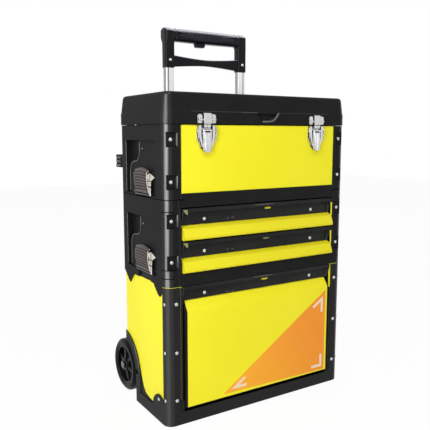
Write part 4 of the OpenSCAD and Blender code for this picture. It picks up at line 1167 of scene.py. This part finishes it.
def steelFront(body):
    look = frontSet
    node = body + "_front"
    fold = body != "bin"
    low, high = ends(node)
    trimLow, trimHigh = [corner.z for corner in ends(body + "_trim")]
    proud = low.y
    channel = high.y - gauge
    half = high.x
    start = [(proud + 1.6, low.z), (proud, low.z + 2.2, 1.6)]
    if fold:
        # Drawer front leans out towards its lower edge, with a crease along the fold
        half = look["drawerHalf"]
        out = proud - look["lean"]
        z = low.z + look["crease"]
        start = [
            (out + look["foldDeep"], low.z), (out, low.z + look["foldHigh"], 1.5), (out, z),
            (out + 1.1, z + 0.2), (out + 1.1, z + 1.2), (out, z + 1.4),
        ]
    path = rounded(start + [
        (proud, trimLow - look["slope"][body], look["bend"] * 2), (channel, trimLow, look["bend"]),
        (channel, trimLow + 4),
    ], closed=False)
    sheet = Shape().prism(path + [(y + gauge, z) for y, z in reversed(path)], "x", -half, half)
    wide = look["upperHalf"]
    sheet.box((-wide, channel, trimLow + 3), (wide, channel + gauge, high.z - 1))
    # Side flanges, cut back along the slope
    inner = [(y + 0.4, z) for y, z in path if z <= trimLow]
    for u0, u1 in ((-half, -half + gauge), (half - gauge, half)):
        sheet.prism(inner + [(channel + gauge, trimLow), (channel + gauge, low.z)], "x", u0, u1)
    if fold:
        # Upright strip beside the trim's right end, yellow corner at its left one in painted shade
        left, right = look["strip"]
        sheet.box((left, low.y + 0.6, trimLow - 7), (right, low.y + 2.4, high.z - look["stripTop"]), 0.5)
        tab = Shape().prism([(u, high.z + v) for u, v in look["tab"]], "y", low.y + 0.3, low.y + 1.2)
        tab.build(node + "_tab", body, shadedCoat, "yellow_steel", (), 0.3)
    # Flat oval tongue of the sheet in the trim's channel, in shade below the upper drawer
    flat = oval(look["tongueShift"][body], trimHigh - look["tongueDrop"], *look["tongue"])
    tongue = Shape().prism(flat, "y", channel - 3.2, channel - 2)
    coat = shadedCoat if body == "lower_drawer" else yellowCoat
    tongue.build(node + "_tongue", body, coat, "yellow_steel", (), 0.2)
    sheet.build(node + "_sheet", body, shadedDrawerCoat if fold else yellowCoat, "yellow_steel", (node,), 0.3)


for body in frontSet["slope"]:
    steelFront(body)
print("steel fronts done")


# Three-cornered film on the bin: blended tone, pale corner strokes, no lettering
filmSet = {
    "from": -0.05,
    "to": 0.42,
    "low": (0.99, 0.43, 0.03),
    "high": (0.94, 0.31, 0.03),
    "faded": (0.95, 0.5, 0.2),
    "fadedMix": 0.12,
    "fibreScale": 240,
    "rough": 0.35,
    "specular": 0.12,
}


def stickerFilm(name, look):
    material, g = newMaterial(name)
    where = g.place()
    fibre = g.noise(where, look["fibreScale"], 3)
    tone = g.share(g.part(where, 0) * 1.4 + g.part(where, 2) * 0.9, look["from"], look["to"])
    body = g.blend(tone, look["low"], look["high"])
    g.surface({
        "Base Color": g.blend(g.share(fibre, 0.4, 0.75) * look["fadedMix"], body, look["faded"]),
        "Roughness": look["rough"] + (fibre - 0.5) * 0.1,
        "Specular IOR Level": look["specular"],
        "Normal": g.bump(fibre, 0.05, 0.2),
    })
    return material


orangeFilm = stickerFilm("orangeFilm", filmSet)
paleInk = stickerFilm("paleInk", {**filmSet, "low": (0.93, 0.72, 0.5), "high": (0.95, 0.74, 0.58)})
stickerSet = {
    "film": 0.3,
    "ink": 0.12,
    "stroke": 7,
    "inset": 16,
    "long": 44,
    "reach": (1.0, 0.9, 0.75),  # share of the strokes' length at each corner
}


def makeSticker():
    look = stickerSet
    low, high = ends("bin_sticker")
    front = high.y - look["film"]
    a = Vector((low.x, low.z + 5))
    b = Vector((high.x, low.z))
    c = Vector((high.x, high.z))
    film = Shape().prism(rounded([a, b, c], 1.5), "y", front, high.y)
    film.build("corner_film", "bin", orangeFilm, "sticker_film", ("bin_sticker",), 0.05)
    # Strokes along two edges at each corner, set in from the film's edge
    ink = Shape()
    for (corner, first, second), reach in zip(((a, b, c), (c, a, b), (b, c, a)), look["reach"]):
        one = (first - corner).normalized()
        two = (second - corner).normalized()
        half = one.angle(two) / 2
        middle = (one + two).normalized()
        start = corner + middle * (look["inset"] / max(0.35, math.sin(half)) * 0.5)
        tips = []
        for way, other in ((one, two), (two, one)):
            square = (other - way * other.dot(way)).normalized() * look["stroke"]
            tip = start + way * look["long"] * reach
            tips.append([tip, tip + square])
        apex = start + middle * (look["stroke"] / math.sin(half))
        edge = [start] + tips[0] + [apex] + tips[1][::-1]
        ink.prism(edge, "y", front - look["ink"], front + 0.05)
    ink.build("corner_strokes", "bin", paleInk, "sticker_film")


makeSticker()
print("sticker done")


# Thin rounded edges that catch the light: recesses, hand pockets, arch bands, rear bumper
beadSet = {"recess": 1.3, "pocket": 1.6, "arch": 1.2}
recessSet = {"back": 78, "lower": (329, 453), "upper": (501, 620)}
pocketSet = {"front": 15, "strip": 66, "bay": 25, "bend": 22, "drop": 45}
bumperSet = {"out": 247, "deep": (117, 143), "ribs": (557.5, 567, 576.5), "ribHigh": 4.2}
archSet = {
    "reach": 96.5,
    "from": 104,
    "to": 176,
    # Outline of the filler that rounds the yellow field's lower corner behind the foot
    "filler": (
        (27, 24), (27, 84), (33.5, 103), (29.8, 97.5), (26.6, 90), (23.2, 80), (19.6, 70), (15.2, 60),
        (9.6, 49.5), (2, 40.5), (-8, 36), (-22, 33), (-40, 31.5), (-42, 24),
    ),
}


def makeEdges(flip, word):
    beads = Shape(flip)
    side = (1, 0, 0)
    look = pocketSet
    back = recessSet["back"]
    for level in ("lower", "upper"):
        z0, z1 = recessSet[level]
        rim = [(sideX - 0.7, back, z) for z in (z0 + 3, z1 - 3)]
        beads.sweep(rim, circle(beadSet["recess"], 8), side)
        # S-shaped edge of the hand pocket
        top = z1 - look["bay"]
        r = look["bend"]
        path = [(look["front"], z1 - 4)] + arc(look["front"] + r, top, r, 180, 250, 8)
        path += arc(look["strip"] - r, top - look["drop"], r, 75, 0, 8) + [(look["strip"], z0 + 4)]
        beads.sweep([(recessX - 0.4, y, z) for y, z in path], circle(beadSet["pocket"], 8), side)
    wheel = middleOf("tyre_left")
    band = arc(wheel.y, wheel.z, archSet["reach"], archSet["from"], archSet["to"], 24)
    beads.sweep([(sideX + 0.1, y, z) for y, z in band], circle(beadSet["arch"], 8), side)
    x = bumperSet["out"]
    y0, y1 = bumperSet["deep"]
    for z in bumperSet["ribs"]:
        beads.box((x - 0.8, y0, z), (x + 1.2, y1, z + bumperSet["ribHigh"]), 1)
    beads.build("recess_edges_" + word, "frame", glossPlastic, "black_plastic")


# Dark joints round the front corners
seamSet = {
    "radius": 20,
    "proud": 0.2,
    "high": 1.8,
    "full": (497,),  # heights of joints that run on along the front and the side
    "corner": (472, 348, 330),
    "sideEnd": 94,
    "frontEnd": 205,
}
# Dark strips beside the bin's door and the drawers; the bin's right one ends lower
jambSet = {
    "door": (210.6, 213.8),
    "drawer": (212.8, 219.6),
    "drawerHigh": (331, 479),
    "foot": 22,
    "right": 60,
}
dimpleSet = {
    "from": 222,
    "deep": 8,
    "half": 13.5,
    "wall": ((218.9, 1.2), (219.8, 1.6), (221.0, 3.0), (222.2, 5.2), (222.4, 6.2), (218.9, 6.2)),
}
pinSet = {"profile": ((2.6, 0), (2.6, 0.5), (1.9, 1.2), (0.7, 1.6)), "deep": 1.2, "drop": 18.2}


def makeJoints(flip, word):
    look = seamSet
    joint = Shape(flip)
    r = look["radius"]
    h = look["high"] / 2
    for z in look["full"] + look["corner"]:
        path = [(x, y, z) for x, y in arc(sideX - r, frontY + r, r, 0, -90, 12)]
        if z in look["full"]:
            path = [(sideX, look["sideEnd"], z)] + path + [(look["frontEnd"], frontY, z)]
        joint.sweep(path, rect(-look["proud"], -h, look["proud"], h), (0, 0, 1))
    joint.build("unit_joints_" + word, "frame", seamPlastic, "black_plastic")

    look = jambSet
    top = zLow - (look["right"] if flip > 0 else 4)
    left, right = look["door"]
    jamb = Shape(flip).box((left, frontY + 0.8, look["foot"]), (right, frontY + 4.2, top), 0.5)
    left, right = look["drawer"]
    z0, z1 = look["drawerHigh"]
    jamb.box((left, frontY + 0.4, z0), (right, frontY + 7, z1), 0.4)
    jamb.prism(archSet["filler"], "x", sideX - 4.4, sideX - 2.6)
    jamb.build("door_jamb_" + word, "frame", postPlastic, "black_plastic", (), 0.2)

    # Lit wall of each dimple that holds a rivet on the front's upper part
    gloss = Shape(flip)
    wall = [(x, frontY + y) for x, y in dimpleSet["wall"]]
    for low, high in solidsOf("body_rivets"):
        mid = (low + high) / 2
        if mid.x * flip > dimpleSet["from"] and mid.z > zLow and high.y < frontY + dimpleSet["deep"]:
            gloss.prism(wall, "z", mid.z - dimpleSet["half"], mid.z + dimpleSet["half"])
    gloss.build("dimple_walls_" + word, "frame", glossPlastic, "black_plastic")

    pins = Shape(flip)
    for level in ("lower", "upper"):
        seat = (recessX, pinSet["deep"], recessSet[level][1] - pinSet["drop"])
        pins.turn(pinSet["profile"], seat, (1, 0, 0), 16)
    pins.build("recess_pins_" + word, "frame", darkSteel, "zinc_steel")


# Lid: edge line of its ledge in three strengths, curved lip of its finger scoop
lidSet = {
    "ledge": 680.2,
    "line": ((-190, -60, 0.55), (-60, -19, 1.0), (45, 190, 0.45)),
    "lip": ((42, 680), (39.6, 677.8), (36, 673), (31, 666.5), (25, 662.4), (14, 661), (-4, 660.6)),
    "lipBend": 4,
    "lipRadius": 2.3,
}


def makeLidEdges():
    look = lidSet
    thin = Shape()
    for u0, u1, r in look["line"]:
        thin.sweep([(u, lidFront + 0.5, look["ledge"]) for u in (u0, u1)], circle(r, 8), (0, 0, 1))
    thin.build("ledge_line", "lid", glossPlastic, "black_plastic")
    path = [(u, lidFront + 1.1, v) for u, v in rounded(look["lip"], look["lipBend"], closed=False)]
    lip = Shape().sweep(path, circle(look["lipRadius"], 10), (0, 1, 0))
    lip.build("scoop_lip", "lid", sheenPlastic, "black_plastic")


# Plug in the slot of the pull trim's channel, moulded marks on its front and a lip above the tongue
trimSet = {
    "plugHalf": 11.5,
    "plug": (16.5, 9.5),
    "lipped": ("upper_drawer", "bin"),
    "lip": (60, 3.2),
    "lipDrop": 2.2,
    "mark": (-97, -84),
    "markSize": (7, 2.2),
    "markDrop": 27,
}


def trimDetails(body):
    look = trimSet
    node = body + "_trim"
    low, high = ends(node)
    w = look["plugHalf"]
    deep, shallow = look["plug"]
    plug = Shape().box((-w, high.y - 2.2, high.z - deep), (w, high.y - 0.2, high.z - shallow))
    plug.build(node + "_plug", body, trimPlastic, "black_plastic")
    part = Shape()
    if body in look["lipped"]:
        part.prism(oval(0, high.z - look["lipDrop"], *look["lip"]), "y", low.y - 1.4, low.y + 0.5)
    w, h = look["markSize"]
    z = high.z - look["markDrop"]
    for x in look["mark"]:
        part.box((x - w / 2, low.y - 0.7, z), (x + w / 2, low.y + 0.3, z + h), 0.8)
    part.build(node + "_details", body, glossPlastic, "black_plastic", (), 0.25)


makeLidEdges()
for body in frontSet["slope"]:
    trimDetails(body)
for flip, word in sides:
    makeEdges(flip, word)
    makeJoints(flip, word)
print("edges done")


# Pale floor and air: plain white where they are seen, dimmer as light on the object
studioSet = {
    "size": 6.0,
    "drop": 0.0004,
    "shade": (0.95, 0.95, 0.95),
    "clear": 0.95,
    "air": 0.41,
    "boxes": {
        "sideBox": {"place": (-1.5, -0.84, 0.95), "aim": (-0.1, 0, 0.42), "size": (0.5, 1.8), "power": 20},
        "frontBox": {"place": (-0.3, -1.7, 2.5), "aim": (0, 0, 0.35), "size": (1.4, 1.0), "power": 18},
        "rearBox": {"place": (1.3, 1.6, 2.5), "aim": (0, 0, 0.35), "size": (1.4, 1.0), "power": 9},
    },
}


def makeFloor():
    look = studioSet
    mesh = bpy.data.meshes.new("floor")
    corners = rect(-look["size"], -look["size"], look["size"], look["size"])
    mesh.from_pydata([(x, y, -look["drop"]) for x, y in corners], [], [(0, 1, 2, 3)])
    floor = bpy.data.objects.new("floor", mesh)
    material, g = newMaterial("paleFloor")
    matt = g.add("ShaderNodeBsdfDiffuse", {}, {"Color": look["shade"]})
    glow = g.add("ShaderNodeEmission", {}, {"Color": (1, 1, 1), "Strength": 1.0})
    mixed = g.add("ShaderNodeMixShader", {}, {0: g.seen() * look["clear"], 1: matt, 2: glow})
    g.add("ShaderNodeOutputMaterial", {}, {"Surface": mixed})
    mesh.materials.append(material)
    scene.collection.objects.link(floor)


def makeWorld():
    scene.world = bpy.data.worlds.new("studioAir")
    scene.world.use_nodes = True
    g = Graph(scene.world.node_tree)
    level = g.seen() * (1 - studioSet["air"]) + studioSet["air"]
    air = g.add("ShaderNodeBackground", {}, {"Color": (1, 1, 1), "Strength": level})
    g.add("ShaderNodeOutputWorld", {}, {"Surface": air})


def makeLights():
    for name, look in studioSet["boxes"].items():
        data = bpy.data.lights.new(name, "AREA")
        data.shape = "RECTANGLE"
        data.size, data.size_y = look["size"]
        data.energy = look["power"]
        toward = Vector(look["aim"]) - Vector(look["place"])
        aimed(name, data, look["place"], toward).visible_camera = False


makeFloor()
makeWorld()
makeLights()
print("studio ready")
